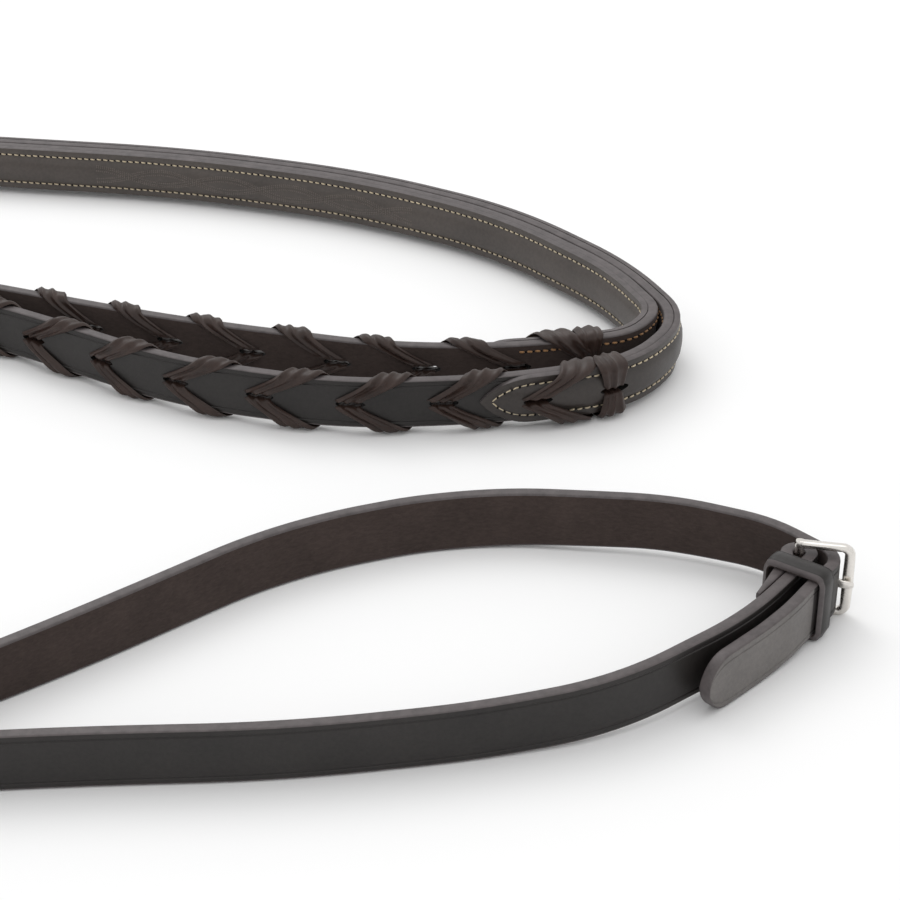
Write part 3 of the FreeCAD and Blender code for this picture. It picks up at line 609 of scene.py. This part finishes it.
def strap_section(half_width=WIDTH / 2, thick=THICK):
    """Points (towards the grain side, up) round a strap, and the material of each side."""
    grain, flesh = HALF, HALF - thick
    full = half_width / (WIDTH / 2)
    r = min(0.6, half_width * 0.5, thick * 0.3)
    top = half_width

    def corner(outward, side, turns):
        """Points round a corner: outward is 1 on the grain side, side is 1 at the top."""
        middle = grain - r if outward > 0 else flesh + r
        return [
            (middle + outward * r * cos(turn), side * (top - r + r * sin(turn)))
            for turn in map(radians, turns)
        ]

    face = [(0.0, -top + r)]
    for side in (-1, 1):
        at = side * (top - CREASE_INSET * full)
        for shift, sink in ((-0.34, 0.0), (-0.1, -0.2), (0.1, -0.2), (0.34, 0.0)):
            face.append((sink * full, at + shift * full))
        if side < 0:
            face += [(0.03, -top * 0.36), (0.05, 0.0), (0.03, top * 0.36)]
    face.append((0.0, top - r))
    points = [(grain + sink, height, GRAIN_SIDE) for sink, height in face]
    middle = (grain + flesh) / 2
    edge = corner(1, 1, (30, 60, 90)) + [(middle, top + 0.06)] + corner(-1, 1, (90, 60, 30))
    points += [(*place, EDGE_SIDE) for place in edge]
    points += [(flesh, height * (top - r), FLESH_SIDE) for height in (1.0, 0.6, 0.0, -0.6)]
    edge = corner(-1, -1, (0, 30, 60, 90)) + [(middle, -top - 0.06)] + corner(1, -1, (90, 60, 30))
    return points + [(*place, EDGE_SIDE) for place in edge]


class Rein:
    """One rein: its route, the side of it that is the grain side, and how it leans and sags."""

    def __init__(self, name, route, grain, band_near, lean, sag):
        self.name, self.route, self.grain, self.lean, self.sag = name, route, grain, lean, sag
        self.flex = BIT_END_LENGTH
        self.cover_start = self.flex + COVER_PLACE
        self.band = route.nearest(Vector((*band_near, 0)))
        self.point = self.band + POINT_GAP
        self.slits = [self.band] + [self.band + BAND_GAP + n * LACE_PITCH for n in range(LACE_COUNT)]

    def spot(self, along, out, up):
        """A point on the rein: out from the middle towards the grain side, up from the middle height."""
        lean = tan(radians(blend_values(self.lean, along)))
        return self.route.at(along, self.grain * out + lean * up, MIDDLE + up - blend_values(self.sag, along))

    def grain_at(self, along):
        """How far the grain surface stands out at middle height."""
        if along < self.cover_start:
            return HALF
        return HALF + CROWN * min(1.0, max(0.0, (self.point - along) / 8.0))

    def strap(self, name, first, last, shape=None, rounded=False, face=GRAIN):
        """A swept strap; shape(along) may give its half width and thickness, pared from the grain side."""
        shell = Shell(name, (face, EDGE, FLESH))
        rings = []
        places = self.route.stations(first, last, 3.0)
        if rounded:
            places = self.route.stations(first, last - WIDTH / 2, 1.5)
            places += [last - WIDTH / 2 * (1 - sin(radians(turn))) for turn in range(8, 89, 8)]
        for along in places:
            half_width, thick = shape(along) if shape else (WIDTH / 2, THICK)
            section = strap_section(half_width, thick)
            rings.append([self.spot(along, out - THICK + thick, up) for out, up, _ in section])
        slots = [slot for _, _, slot in strap_section()]
        return shell.rings(rings, slots, cap=EDGE_SIDE)


def circle(count):
    """The cosine and the sine of so many equal turns."""
    turns = (tau * number / count for number in range(count))
    return [(cos(turn), sin(turn)) for turn in turns]


def cut_slits(piece, name, rein, places):
    """Lens-shaped slits through a strap at these places along it. Their walls take the cutter's near-black
    colour, as painted shade.
    """
    cutter = Shell(name, (SHADED_HOLE,))
    outline = [(SLIT_HALF * x, SLIT_HEIGHT * y * abs(y) ** 0.3) for x, y in circle(16)]
    for along in places:
        cutter.rings([
            [rein.spot(along - SLIT_SHIFT + shift, out, up) for shift, up in outline]
            for out in (-SLIT_REACH, SLIT_REACH)
        ])
    return carve(piece, cutter.build(sharp=30))


LACED_LEAN = [(0, 0), (60, 0), (150, 3), (420, 3), (500, 0), (640, -2.5), (900, -2.5), (1010, 0)]
right = Rein("right", right_rein_route(), 1, (167, -6),
             LACED_LEAN + [(1210, 0), (1300, 6), (1395, 8), (1455, 3), (1478, 0)],
             [(1075, 0), (1190, 2.15), (1385, 2.15), (1455, 0), (1520, 0), (1545, 2.1)])
left = Rein("left", left_rein_route(), -1, (162, 11), LACED_LEAN + [(1250, 0), (1330, -1.5), (1400, 0)],
            [(1055, 0), (1170, 2.15), (1350, 2.15), (1425, 0)])


def skived(along):
    """The turn-back is pared thin towards its end."""
    total = left.route.length()
    begin = total - TURN_BACK + SKIVE_START
    share = min(1.0, max(0.0, (along - begin) / (total - begin)))
    return WIDTH / 2, THICK - (THICK - SKIVED_THICK) * share


def rounded_end(end):
    """The width of a strap whose end is a half circle."""
    def shape(along):
        short = max(0.0, along - (end - WIDTH / 2))
        return max(0.3, sqrt(max(0.0, (WIDTH / 2) ** 2 - short ** 2))), THICK
    return shape


def main_straps():
    tip_joint = right.route.length() - TIP_LENGTH + TIP_PLACE
    for rein, last, shape in ((right, tip_joint, None), (left, left.route.length(), skived)):
        piece = rein.strap(rein.name + "_rein_leather", rein.flex, last, shape).build()
        piece = cut_slits(piece, rein.name + "_slit_cutter", rein, rein.slits)
        finish_piece(piece, "reins", "havana_leather", rein.name + "_strap")


def free_tip():
    end = right.route.length()
    joint = end - TIP_LENGTH + TIP_PLACE
    # The tip takes the lighter grain, whose colour is painted reflection.
    shell = right.strap("rein_tip_leather", joint + SKIN_GAP, end, rounded_end(end), True, TIP_GRAIN_PAINTED_REFLECTION)
    piece = shell.build()
    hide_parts("right_strap_tip")
    bend_start = (right.route.at(joint, 0, MIDDLE) + SHIFT) * MM
    bend_end = (right.route.at(joint + 9, 0, MIDDLE) + SHIFT) * MM
    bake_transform(piece)


# ---------------------------------------------------------------- raised covers and stitching


def cover_fullness(rein, along):
    """How thick the cover's ledge is here, and how far its crown rises above the ledge."""
    left_over = max(0.0, rein.point - along)
    opening = 0.3 + (along - rein.cover_start) / 8.0
    ledge = LEDGE * (0.35 + 0.65 * min(1.0, left_over / 12.0, opening))
    crown = (CROWN - LEDGE) * min(1.0, max(0.0, (left_over - POINT_INSET - 1.0) / 9.0), opening)
    return ledge, crown


def cover_knots(ledge, rise):
    """The cover's upper half: shares of its half width, and how far out its surface stands there."""
    groove = ledge - 0.16 * min(1.0, 2 * rise)
    return [
        (1.0, 0.0), (0.995, ledge * 0.75), (0.965, ledge * 0.97), (0.90, ledge), (0.74, ledge),
        (0.70, groove), (0.64, groove), (0.60, ledge + 0.1 * rise), (0.48, ledge + 0.62 * rise),
        (0.34, ledge + 0.93 * rise), (0.16, ledge + 1.04 * rise), (0.0, ledge + 1.08 * rise),
    ]


def pointed(share):
    """The half width of a pointed arch, at a share of its length from its tip."""
    share = min(1.0, max(0.0, share))
    return (1 - (1 - share) ** 2.2) ** 0.85


def cover_half_width(rein, along):
    """Full width, and a pointed arch at the laced end."""
    return WIDTH / 2 * pointed((rein.point - along) / COVER_POINT)


def cover_out(rein, along, up):
    """How far out the cover's surface stands at a height above or below its middle."""
    share = min(1.0, abs(up) / max(0.1, cover_half_width(rein, along)))
    knots = cover_knots(*cover_fullness(rein, along))
    for (far, out), (near, more) in zip(knots, knots[1:]):
        if share >= near:
            return HALF + out + (more - out) * (far - share) / (far - near)
    return HALF + knots[-1][1]


def raised_cover(rein):
    # Each cover takes its own shade of the raised grain: painted light on the left rein, painted shade on the
    # right.
    shell = Shell(rein.name + "_raised_leather", (RAISED_GRAIN[rein.name], EDGE))
    places = rein.route.stations(rein.cover_start, rein.point - COVER_POINT, 3.0)
    places += [rein.point - COVER_POINT * share for share in (
        0.94, 0.87, 0.79, 0.7, 0.61, 0.52, 0.43, 0.35, 0.27, 0.2, 0.14, 0.09, 0.05, 0.02, 0.005,
    )]
    rings = []
    for along in places:
        half_width = max(0.12, cover_half_width(rein, along))
        upper = [(out, half_width * up) for up, out in cover_knots(*cover_fullness(rein, along))]
        profile = upper + [(out, -up) for out, up in reversed(upper[:-1])]
        profile += [(-0.02, -half_width * 0.9), (-0.02, half_width * 0.9)]
        rings.append([rein.spot(along, HALF + out, up) for out, up in profile])
    count = len(rings[0])
    slots = [0] * count
    for side in (0, 1, count - 5, count - 4, count - 3, count - 2, count - 1):
        slots[side] = 1
    piece = shell.rings(rings, slots, cap=1).build(sharp=50)
    piece = cut_slits(piece, rein.name + "_cover_cutter", rein, rein.slits[:2])
    finish_piece(piece, "reins", "havana_leather", rein.name + "_raised_cover")


def raised_filler(rein):
    """The padding strip inside the crown, with rounded corners."""
    shell = Shell(rein.name + "_padding", (CORE,))
    half = [(0.06, -3.3), (0.7, -3.45), (1.3, -2.9)]
    outline = half + [(1.38, 0.0)] + [(out, -up) for out, up in reversed(half)] + [(0.03, 0.0)]
    rings = [
        [rein.spot(along, HALF + out, up) for out, up in outline]
        for along in rein.route.stations(rein.cover_start + FILLER_SHORT, rein.band - 6, 5.0)
    ]
    finish_piece(shell.rings(rings).build(), "reins", "core_leather", rein.name + "_raised_filler")


STITCH_BOW = (
    (0.0, -0.22, 0.45), (0.16, 0.04, 0.95), (0.5, 0.13, 1.1), (0.84, 0.04, 0.95), (1.0, -0.22, 0.45),
)


def add_stitch(shell, start, end, away, thick=0.27):
    """One stitch: a short bowed strand whose two ends dip into the leather."""
    line = (end - start).normalized()
    across = line.cross(away).normalized()
    length = (end - start).length
    rings = []
    for share, sink, girth in STITCH_BOW:
        centre = start + line * (length * share) + away * sink
        wide = thick * girth
        rings.append([centre + across * (wide * x) + away * (wide * 0.8 * y) for x, y in circle(6)])
    shell.rings(rings)


def add_hole(shell, centre, line, away):
    """The needle hole between two stitches: a low lens that sits in the surface, near black as painted shade.
    """
    across = line.cross(away).normalized()
    ring = [centre + line * (0.375 * x) + across * (0.3 * y) + away * 0.03 for x, y in circle(8)]
    shell.rings([ring, [point - away * 0.5 for point in ring]])


def stitch_row(thread_shell, hole_shell, spot, away, first, last, pitch=2.5, slant=0.22, thick=0.27):
    """Stitches along spot(place, up); away(place) points off the surface."""
    count = int((last - first) / pitch)
    for number in range(count):
        place = first + number * pitch
        drift = RANDOM.uniform(-0.07, 0.07)
        start, end = spot(place + 0.28, slant / 2 + drift), spot(place + pitch - 0.42, -slant / 2 + drift)
        out = away(place + pitch / 2)
        add_stitch(thread_shell, start, end, out, thick)
        add_hole(hole_shell, spot(place, 0.0), (end - start).normalized(), out)


def surface_normal(rein, side):
    def away(along):
        ahead = rein.spot(along + 0.5, 0, 0) - rein.spot(along - 0.5, 0, 0)
        flat = Vector((-ahead.y, ahead.x, 0)).normalized()
        return flat * (rein.grain * side)
    return away


def cover_stitching(rein):
    """Cream stitches on the grain side, which meet at the point, and tan ones on the flesh side."""
    cream = Shell(rein.name + "_cream_stitches", (CREAM,))
    tawny = Shell(rein.name + "_tan_stitches", (TAN,))
    holes = Shell(rein.name + "_stitch_holes", (SHADED_HOLE,))
    arch_start = rein.point - COVER_POINT
    surface = HALF + LEDGE - 0.08
    tip = rein.point - POINT_INSET
    line = [
        (tip - (tip - arch_start) * share, (WIDTH / 2 - STITCH_INSET) * pointed(share))
        for share in (1 - step / 60 for step in range(61))
    ]
    walked = [0.0]
    for here, there in zip(line, line[1:]):
        walked.append(walked[-1] + dist(here, there))
    arch_pitch = walked[-1] / round(walked[-1] / 2.3)

    def row(out, side, way):
        up = side * (WIDTH / 2 - STITCH_INSET)
        return lambda along, drift: rein.spot(along, out, up + way * drift)

    def arch(side):
        def spot(place, drift):
            along, up = line[min(range(len(line)), key=lambda number: abs(walked[number] - place))]
            return rein.spot(along, cover_out(rein, along, up) - 0.03, side * up + drift * 0.3)
        return spot

    start = rein.cover_start + 2.5
    front, back = surface_normal(rein, 1), surface_normal(rein, -1)
    for side in (-1, 1):
        stitch_row(cream, holes, row(surface, side, 1), front, start, arch_start)
        stitch_row(cream, holes, arch(side), front, 0.0, walked[-1] + 0.1, arch_pitch, 0.0)
        stitch_row(tawny, holes, row(-HALF - 0.02, side, -1), back, start, arch_start, thick=0.36)
    finish_piece(cream.build(), "reins", "waxed_thread", rein.name + "_cover_stitching")
    finish_piece(tawny.build(), "reins", "waxed_thread")
    finish_piece(holes.build(), "reins", "waxed_thread")


def fancy_stitching(rein):
    """Fine stitches side by side fill two crossing waves, which makes a chain of lenses."""
    shell = Shell(rein.name + "_fancy_stitches", (BROWN,))
    away = surface_normal(rein, 1)
    first = rein.cover_start + FANCY_START
    for side in (-1, 1):
        for number in range(int(FANCY_PITCH * FANCY_COUNT / FANCY_STITCH_PITCH)):
            place = number * FANCY_STITCH_PITCH
            wave = side * FANCY_REACH * cos(pi * place / FANCY_PITCH)
            for rank in (-1, 0, 1):
                up = wave * (1 - 0.12 * abs(rank)) + 0.86 * rank
                bulge = CROWN + (0.06 if side > 0 else 0.0) - 0.035 * up * up
                along = first + place
                start = rein.spot(along - 0.2, HALF + bulge, up - 0.34)
                end = rein.spot(along + 0.2, HALF + bulge, up + 0.34)
                add_stitch(shell, start, end, away(along), thick=0.2)
    finish_piece(shell.build(), "reins", "waxed_thread", rein.name + "_fancy_stitching")


# ---------------------------------------------------------------- laces


def lace_ring(rein, along, out, up, normal, half_length, flat, folds):
    """One section of a lace: soft uneven folds on the outside, flat inside."""
    ring = []
    for step in range(21):
        q = -1 + step / 10
        bent = q + 0.16 * q * q
        coarse, fine = cos(folds[0] * bent + folds[1]), cos(1.9 * folds[0] * bent + folds[2])
        pleat = 0.5 + 0.38 * coarse + 0.12 * fine
        height = (0.3 + pleat * flat) * (1 - abs(q) ** 4) ** 0.5 - 0.12
        ring.append(rein.spot(along + q * half_length, out + normal[0] * height, up + normal[1] * height))
    for q in (0.94, 0.5, 0.0, -0.5, -0.94):
        sink = -0.34 + 0.16 * abs(q)
        ring.append(rein.spot(along + q * half_length, out + normal[0] * sink, up + normal[1] * sink))
    return ring


def crossing_path(face, rise, over, gap, edge):
    """A lace's course: (along, out, up, which way it faces out and up, half width, how pleated)."""
    top = WIDTH / 2
    turned = rise + over
    return [
        (0.0, 0.2, LACE_INSET * edge, 0.0, -edge, 4.2, 0.3),
        (0.0, face + 0.2, (LACE_INSET + 0.25) * edge, 0.7, -0.7 * edge, 4.3, 0.7),
        (-rise * 0.22, face + 0.85, 2.8 * edge, 1.0, -0.1 * edge, 4.5, 1.0),
        (-rise * 0.6, face + 0.9, 5.3 * edge, 1.0, 0.05 * edge, 4.9, 1.0),
        (-rise * 0.9, face + 0.75, 7.5 * edge, 0.93, 0.4 * edge, 5.4, 1.0),
        (-rise - over * 0.2, face * 0.75, (top + 0.9) * edge, 0.4, 0.9 * edge, 5.6, 0.9),
        (-rise - over * 0.6, -HALF * 0.4, (top + 1.1) * edge, -0.1, edge, 5.5, 0.9),
        (-turned, -HALF - 0.35, (top + 0.1) * edge, -0.85, 0.5 * edge, 5.1, 0.9),
        (-turned - gap * 0.25, -HALF - 0.66, 6.2 * edge, -1.0, 0.0, 4.7, 1.0),
        (-turned - gap * 0.6, -HALF - 0.66, 3.6 * edge, -1.0, 0.0, 4.4, 1.0),
        (-turned - gap * 0.92, -HALF - 0.4, 1.5 * edge, -0.8, -0.5 * edge, 4.2, 0.6),
        (-turned - gap, -0.3, LACE_INSET * edge, 0.0, -edge, 4.1, 0.2),
    ]


def add_crossing(shell, rein, number, edge):
    """A lace from its slit on the grain side, over one edge, to the next slit on the flesh side."""
    along = rein.slits[number]
    rise = over = gap = 0.0
    if number:
        rise, over = LACE_RISE + RANDOM.uniform(-0.3, 1.2), LACE_OVER
        gap = along - rein.slits[number - 1] - rise - over
    nodes = crossing_path(rein.grain_at(along), rise, over, gap, edge)
    if number == 0:
        nodes = [(*node[:5], node[5] * (0.66 + 0.018 * abs(node[2])), node[6]) for node in nodes]
    folds = [RANDOM.uniform(7.0, 9.2), RANDOM.uniform(-1.6, 1.6), RANDOM.uniform(-2.6, 2.6)]
    drift = RANDOM.uniform(-0.05, 0.05)
    girth = RANDOM.uniform(0.94, 1.05)
    rings = []
    for shift, out, up, n_out, n_up, half_length, flat in spline(nodes, 3):
        size = hypot(n_out, n_up)
        folds[1] += drift
        rings.append(lace_ring(rein, along + shift, out, up, (n_out / size, n_up / size),
                               half_length * girth, flat, folds))
    shell.rings(rings)


def laces(rein):
    for edge, side in ((1, "upper"), (-1, "lower")):
        shell = Shell(f"{rein.name}_{side}_lacing", (LACE,))
        for number in range(len(rein.slits)):
            add_crossing(shell, rein, number, edge)
        finish_piece(shell.build(sharp=60), "reins", "lace_leather", f"{rein.name}_{side}_lace")


# ---------------------------------------------------------------- keepers, bit ends and buckle


class Local:
    """A frame on the plan: X along a heading, Y to its left, Z up from the straps' middle height."""

    def __init__(self, base, heading, height=MIDDLE):
        self.base, self.heading, self.height = base, heading, height

    def at(self, x, y, z=0.0):
        spot = self.base + polar(x, self.heading) + polar(y, self.heading + 90)
        return spot + Vector((0, 0, self.height + z))


LOOP_STEPS = 5


def rounded_loop(low, high, half, radius):
    """Points (aside, up, outward aside, outward up) round a rectangle with round corners."""
    loop = []
    middles = ((high - radius, half - radius, 0), (low + radius, half - radius, 90),
               (low + radius, -half + radius, 180), (high - radius, -half + radius, 270))
    for y, z, start in middles:
        for step in range(LOOP_STEPS + 1):
            turn = radians(start + 90 * step / LOOP_STEPS)
            out_y, out_z = cos(turn), sin(turn)
            loop.append((y + radius * out_y, z + radius * out_z, out_y, out_z))
    sides = []
    for here, there in zip(loop, loop[1:] + loop[:1]):
        sides.append(here)
        if abs(here[0] - there[0]) + abs(here[1] - there[1]) > 2.5:
            for share in (0.33, 0.67):
                sides.append(tuple(a + (b - a) * share for a, b in zip(here, there)))
    return sides


def keeper(name, place, first, stack, body, *nodes):
    """A leather band round a stack of layers, crowned, creased and rounded where it turns."""
    low, high = stack[0] - KEEPER_GAP, stack[1] + KEEPER_GAP
    half = WIDTH / 2 + KEEPER_GAP
    shell = Shell(name, (GRAIN, EDGE, FLESH))
    w = KEEPER_WIDTH / 2
    middle = first + w
    near_side = [(-w, 0.35), (-w + 0.3, 1.25), (-w + 0.75, 1.5), (-w + 1.0, 1.42), (-w + 1.2, 1.52)]
    far_side = [(-along, out) for along, out in reversed(near_side)]
    section = near_side + [(0, 1.62)] + far_side + [(w - 0.3, 0.02), (-w + 0.3, 0.02)]
    slots = [EDGE_SIDE] * 2 + [GRAIN_SIDE] * 7 + [EDGE_SIDE] * 2 + [FLESH_SIDE] * 2
    rings = []
    for y, z, out_y, out_z in rounded_loop(low, high, half, 1.3):
        stretch = 1.0 if abs(out_z) < 0.7 else 1.3
        rings.append([
            place.at(middle + along, y + out_y * out * stretch, z + out_z * out * stretch)
            for along, out in section
        ])
    piece = shell.rings(rings, slots, closed=True).build(sharp=50)
    return finish_piece(piece, body, "havana_leather", *nodes)


class BitEnd:
    """The folded end of one rein: its own route, from the flexing point to the billet's tip."""

    def __init__(self, rein):
        self.rein = rein
        self.side = rein.grain
        self.body = rein.name + "_bit_end"
        length = BIT_END_LENGTH - FLEX_CUT
        heading = rein.route.heading_at(rein.flex) + 180
        loop = BIT_LOOP_RADIUS + HALF
        self.layer = THICK + LAYER_GAP
        self.route = Route(rein.route.at(rein.flex - FLEX_CUT), heading).run(length)
        self.route.bend(loop, self.side * 270).bend(loop - self.layer, -self.side * 90).run(BILLET_LENGTH)
        self.place = Local(self.route.at(length), heading)

    def strap(self):
        folded = Rein(self.body, self.route, -self.side, (0, 0), [(0, 0)], [(0, 0)])
        end = self.route.length()
        piece = folded.strap(self.body + "_leather", SKIN_GAP, end, rounded_end(end), rounded=True).build()
        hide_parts(self.rein.name + "_bit_end_strap")
        start = (self.rein.spot(self.rein.flex, 0, 0) + SHIFT) * MM
        end_point = (self.rein.spot(self.rein.flex - 10, 0, 0) + SHIFT) * MM
        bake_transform(piece)

    def keepers(self):
        stack = sorted((-self.side * HALF, self.side * (self.layer + HALF)))
        for name, where in BIT_KEEPERS.items():
            label = f"{self.rein.name}_{name}_bit_keeper"
            keeper(label + "_band", self.place, -where - KEEPER_WIDTH, stack, self.body, label)

    def stud(self):
        """A turned hook stud: a domed head, a waisted post and a peened tail through its burr."""
        outer = self.layer + HALF
        head = ((0.3, 1.9), (0.35, 3.1), (0.7, 3.4), (1.2, 3.2), (1.65, 2.2), (1.85, 0.9), (1.88, 0.1))
        tail = ((1.15, 0.1), (1.1, 1.2), (0.9, 1.75), (0.0, 1.75))
        burr = ((0.02, 1.86), (0.02, 3.5), (0.3, 3.6), (0.7, 3.3), (0.88, 2.4), (0.8, 1.86))
        post = [(-HALF - out, radius) for out, radius in tail]
        post += [(outer + out, radius) for out, radius in head]
        ring = [(-HALF - out, radius) for out, radius in burr]
        self.turned(self.rein.name + "_turned_stud", post, self.rein.name + "_hook_stud")
        self.turned(self.rein.name + "_domed_burr", ring, self.rein.name + "_stud_burr", closed=True)

    def turned(self, name, outline, node, closed=False):
        shell = Shell(name, (METAL,))
        rings = [
            [self.place.at(-STUD_PLACE + radius * x, self.side * aside, radius * y) for x, y in circle(28)]
            for aside, radius in outline
        ]
        finish_piece(shell.rings(rings, closed=closed).build(), self.body, "silvered_metal", node)

    def build(self):
        self.strap()
        self.keepers()
        self.stud()


def runs(path):
    """The direction of a path at each of its points."""
    ends = [path[0], *path, path[-1]]
    return [(after - before).normalized() for before, after in zip(ends, ends[2:])]


def swept(shell, path, frames, half_wide, half_deep, count=12):
    """A rounded bar along a path: frames gives (wide, deep) directions at each point."""
    def squared(share):
        return copysign(abs(share) ** 0.75, share)

    turns = [tau * (step + 0.5) / count for step in range(count)]
    outline = [(squared(cos(turn)), squared(sin(turn))) for turn in turns]
    rings = []
    for centre, (wide, deep), a, b in zip(path, frames, half_wide, half_deep):
        rings.append([centre + wide * (a * x) + deep * (b * y) for x, y in outline])
    shell.rings(rings)


BUCKLE = Local(HINGE, FRAME_HEADING, FRAME_HEIGHT / 2)


def buckle_frame():
    """A cast frame: flat rounded outer bar, slimmer rails, and a round hinge bar between their ends."""
    shell = Shell("buckle_cast_frame", (METAL,))
    across = polar(1, FRAME_HEADING + 90)
    outward = polar(1, FRAME_HEADING)
    rail = FRAME_HEIGHT / 2 - 1.05
    reach = FRAME_LENGTH
    bend = 2.2
    girths = ((0.0, 1.05), (reach * 0.3, 1.02), (reach * 0.65, 1.02), (reach - bend, 1.05))
    line = [(x, -rail, half) for x, half in girths]
    for step in range(1, 6):
        turn = radians(-90 + 90 * step / 6)
        line.append((reach - bend * (1 - cos(turn)), bend * (1 + sin(turn)) - rail, 1.05 + 0.07 * step))
    line += [(reach, -rail * 0.6, 1.45), (reach, -rail * 0.2, 1.52)]
    line = line + [(x, -z, half) for x, z, half in reversed(line)]
    path = [BUCKLE.at(x, 0, z) for x, z, _ in line]
    frames = [(across.cross(run), across) for run in runs(path)]
    swept(shell, path, frames, [half for _, _, half in line], [1.28] * len(line))
    ends = [BUCKLE.at(0, 0, z) for z in (-rail - 0.9, -rail, -rail + 1.1, rail - 1.1, rail, rail + 0.9)]
    girths = [1.15, 1.45, BAR_RADIUS, BAR_RADIUS, 1.45, 1.15]
    swept(shell, ends, [(outward, across)] * 6, girths, girths, count=16)
    finish_piece(shell.build(sharp=50), "buckle", "silvered_metal", "buckle_frame")


def buckle_prong():
    """A tongue with a bowed back, bent round the bar in an eye, that rests on the outer bar."""
    shell = Shell("buckle_tongue", (METAL,))
    up = Vector((0, 0, 1))
    inner = BAR_RADIUS + 0.1
    eye = inner + 0.5
    line = [(eye * cos(radians(turn)), eye * sin(radians(turn)))
            for turn in range(330, 30, -20)]
    line += [(eye + 1.4, 0.35), (5.0, -0.25), (8.0, -0.75), (10.6, -1.7)]
    line += [(12.4, -2.25), (13.8, -2.45), (15.0, -2.3)]
    half_wide = [1.45] * 15 + [1.45, 1.4, 1.35, 1.3, 1.2, 1.05, 0.7]
    half_deep = [0.5] * 15 + [0.6, 0.8, 0.85, 0.8, 0.72, 0.62, 0.45]
    path = [BUCKLE.at(x, y) for x, y in line]
    frames = [(up, run.cross(up)) for run in runs(path)]
    swept(shell, path, frames, half_wide, half_deep)
    finish_piece(shell.build(sharp=50), "prong", "silvered_metal", "buckle_prong")


def buckle_keeper_and_stitches():
    at_hinge = Local(HINGE, LEFT_HEADING)
    wrap_reach = WRAP_RADIUS + WRAP_OFFSET.dot(polar(1, LEFT_HEADING - 90))
    stack = (-wrap_reach - HALF, KEEPER_BACK)
    first = -BUCKLE_KEEPER_PLACE - KEEPER_WIDTH
    keeper("buckle_keeper_band", at_hinge, first, stack, "reins", "buckle_keeper")
    stitches = Shell("turn_back_stitches", (BROWN,))
    holes = Shell("turn_back_holes", (SHADED_HOLE,))
    inner = -FOLD_RADIUS + HALF + LAYER_GAP
    pared = (THICK - SKIVED_THICK) / (TURN_BACK - SKIVE_START)

    def away(place):
        return polar(1, LEFT_HEADING + 90)

    for side in (-1, 1):
        def spot(place, drift, side=side):
            surface = inner + SKIVED_THICK + pared * (place + TURN_BACK)
            return at_hinge.at(place, min(surface, inner + THICK), side * (WIDTH / 2 - STITCH_INSET) + drift)
        stitch_row(stitches, holes, spot, away, -TURN_BACK + 2, first - 1)
    finish_piece(stitches.build(), "reins", "waxed_thread", "turn_back_stitching")
    finish_piece(holes.build(), "reins", "waxed_thread")


# ---------------------------------------------------------------- camera, floor and light


CAMERA_PLACE = Vector((118, -600, 330))
CAMERA_TILT = 60
CAMERA_LENS = 86.6
FLOOR_CORNERS = ((-3, -3), (3, -3), (3, 4), (-3, 4))
FLOOR_PALE = 0.90
SKY_STRENGTH = 0.93
LAMPS = (
    ("key", (-0.45, 1.0, 1.4), (0.05, 0.0, 0.0), 1.0, 6),
    ("top", (0.1, 0.2, 1.9), (0.0, 0.0, 0.0), 1.6, 5),
)


def camera():
    data = bpy.data.cameras.new("camera")
    data.sensor_width = 36
    data.lens = CAMERA_LENS
    data.clip_start, data.clip_end = 0.01, 20
    eye = put("camera", data)
    eye.location = (CAMERA_PLACE + SHIFT) * MM
    eye.rotation_euler = (radians(CAMERA_TILT), 0, 0)
    bpy.context.scene.camera = eye


def stage():
    data = bpy.data.meshes.new("floor")
    data.from_pydata([(x, y, 0) for x, y in FLOOR_CORNERS], [], [(0, 1, 2, 3)])
    floor = put("floor", data)
    paint = bpy.data.materials.new("white floor")
    paint.use_nodes = True
    pale = (FLOOR_PALE, FLOOR_PALE, FLOOR_PALE, 1)
    shader = shader_of(paint.node_tree, "BSDF_PRINCIPLED")
    preset(shader, Base_Color=pale, Roughness=0.9, Specular_IOR_Level=0.1)
    data.materials.append(paint)
    world = bpy.data.worlds.new("studio")
    world.use_nodes = True
    preset(shader_of(world.node_tree, "BACKGROUND"), Color=(1.0, 1.0, 1.0, 1), Strength=SKY_STRENGTH)
    bpy.context.scene.world = world
    for name, place, aim, width, power in LAMPS:
        light = bpy.data.lights.new(name, "AREA")
        light.shape, light.size, light.energy = "DISK", width, power
        lamp = put(name, light)
        lamp.location = place
        lamp.rotation_euler = (Vector(aim) - Vector(place)).to_track_quat("-Z", "Y").to_euler()
    bpy.context.scene.view_settings.view_transform = "Standard"


# ---------------------------------------------------------------- making

camera()
stage()
main_straps()
free_tip()
for rein in (right, left):
    raised_cover(rein)
    raised_filler(rein)
    cover_stitching(rein)
    fancy_stitching(rein)
    laces(rein)
    BitEnd(rein).build()
buckle_frame()
buckle_prong()
buckle_keeper_and_stitches()
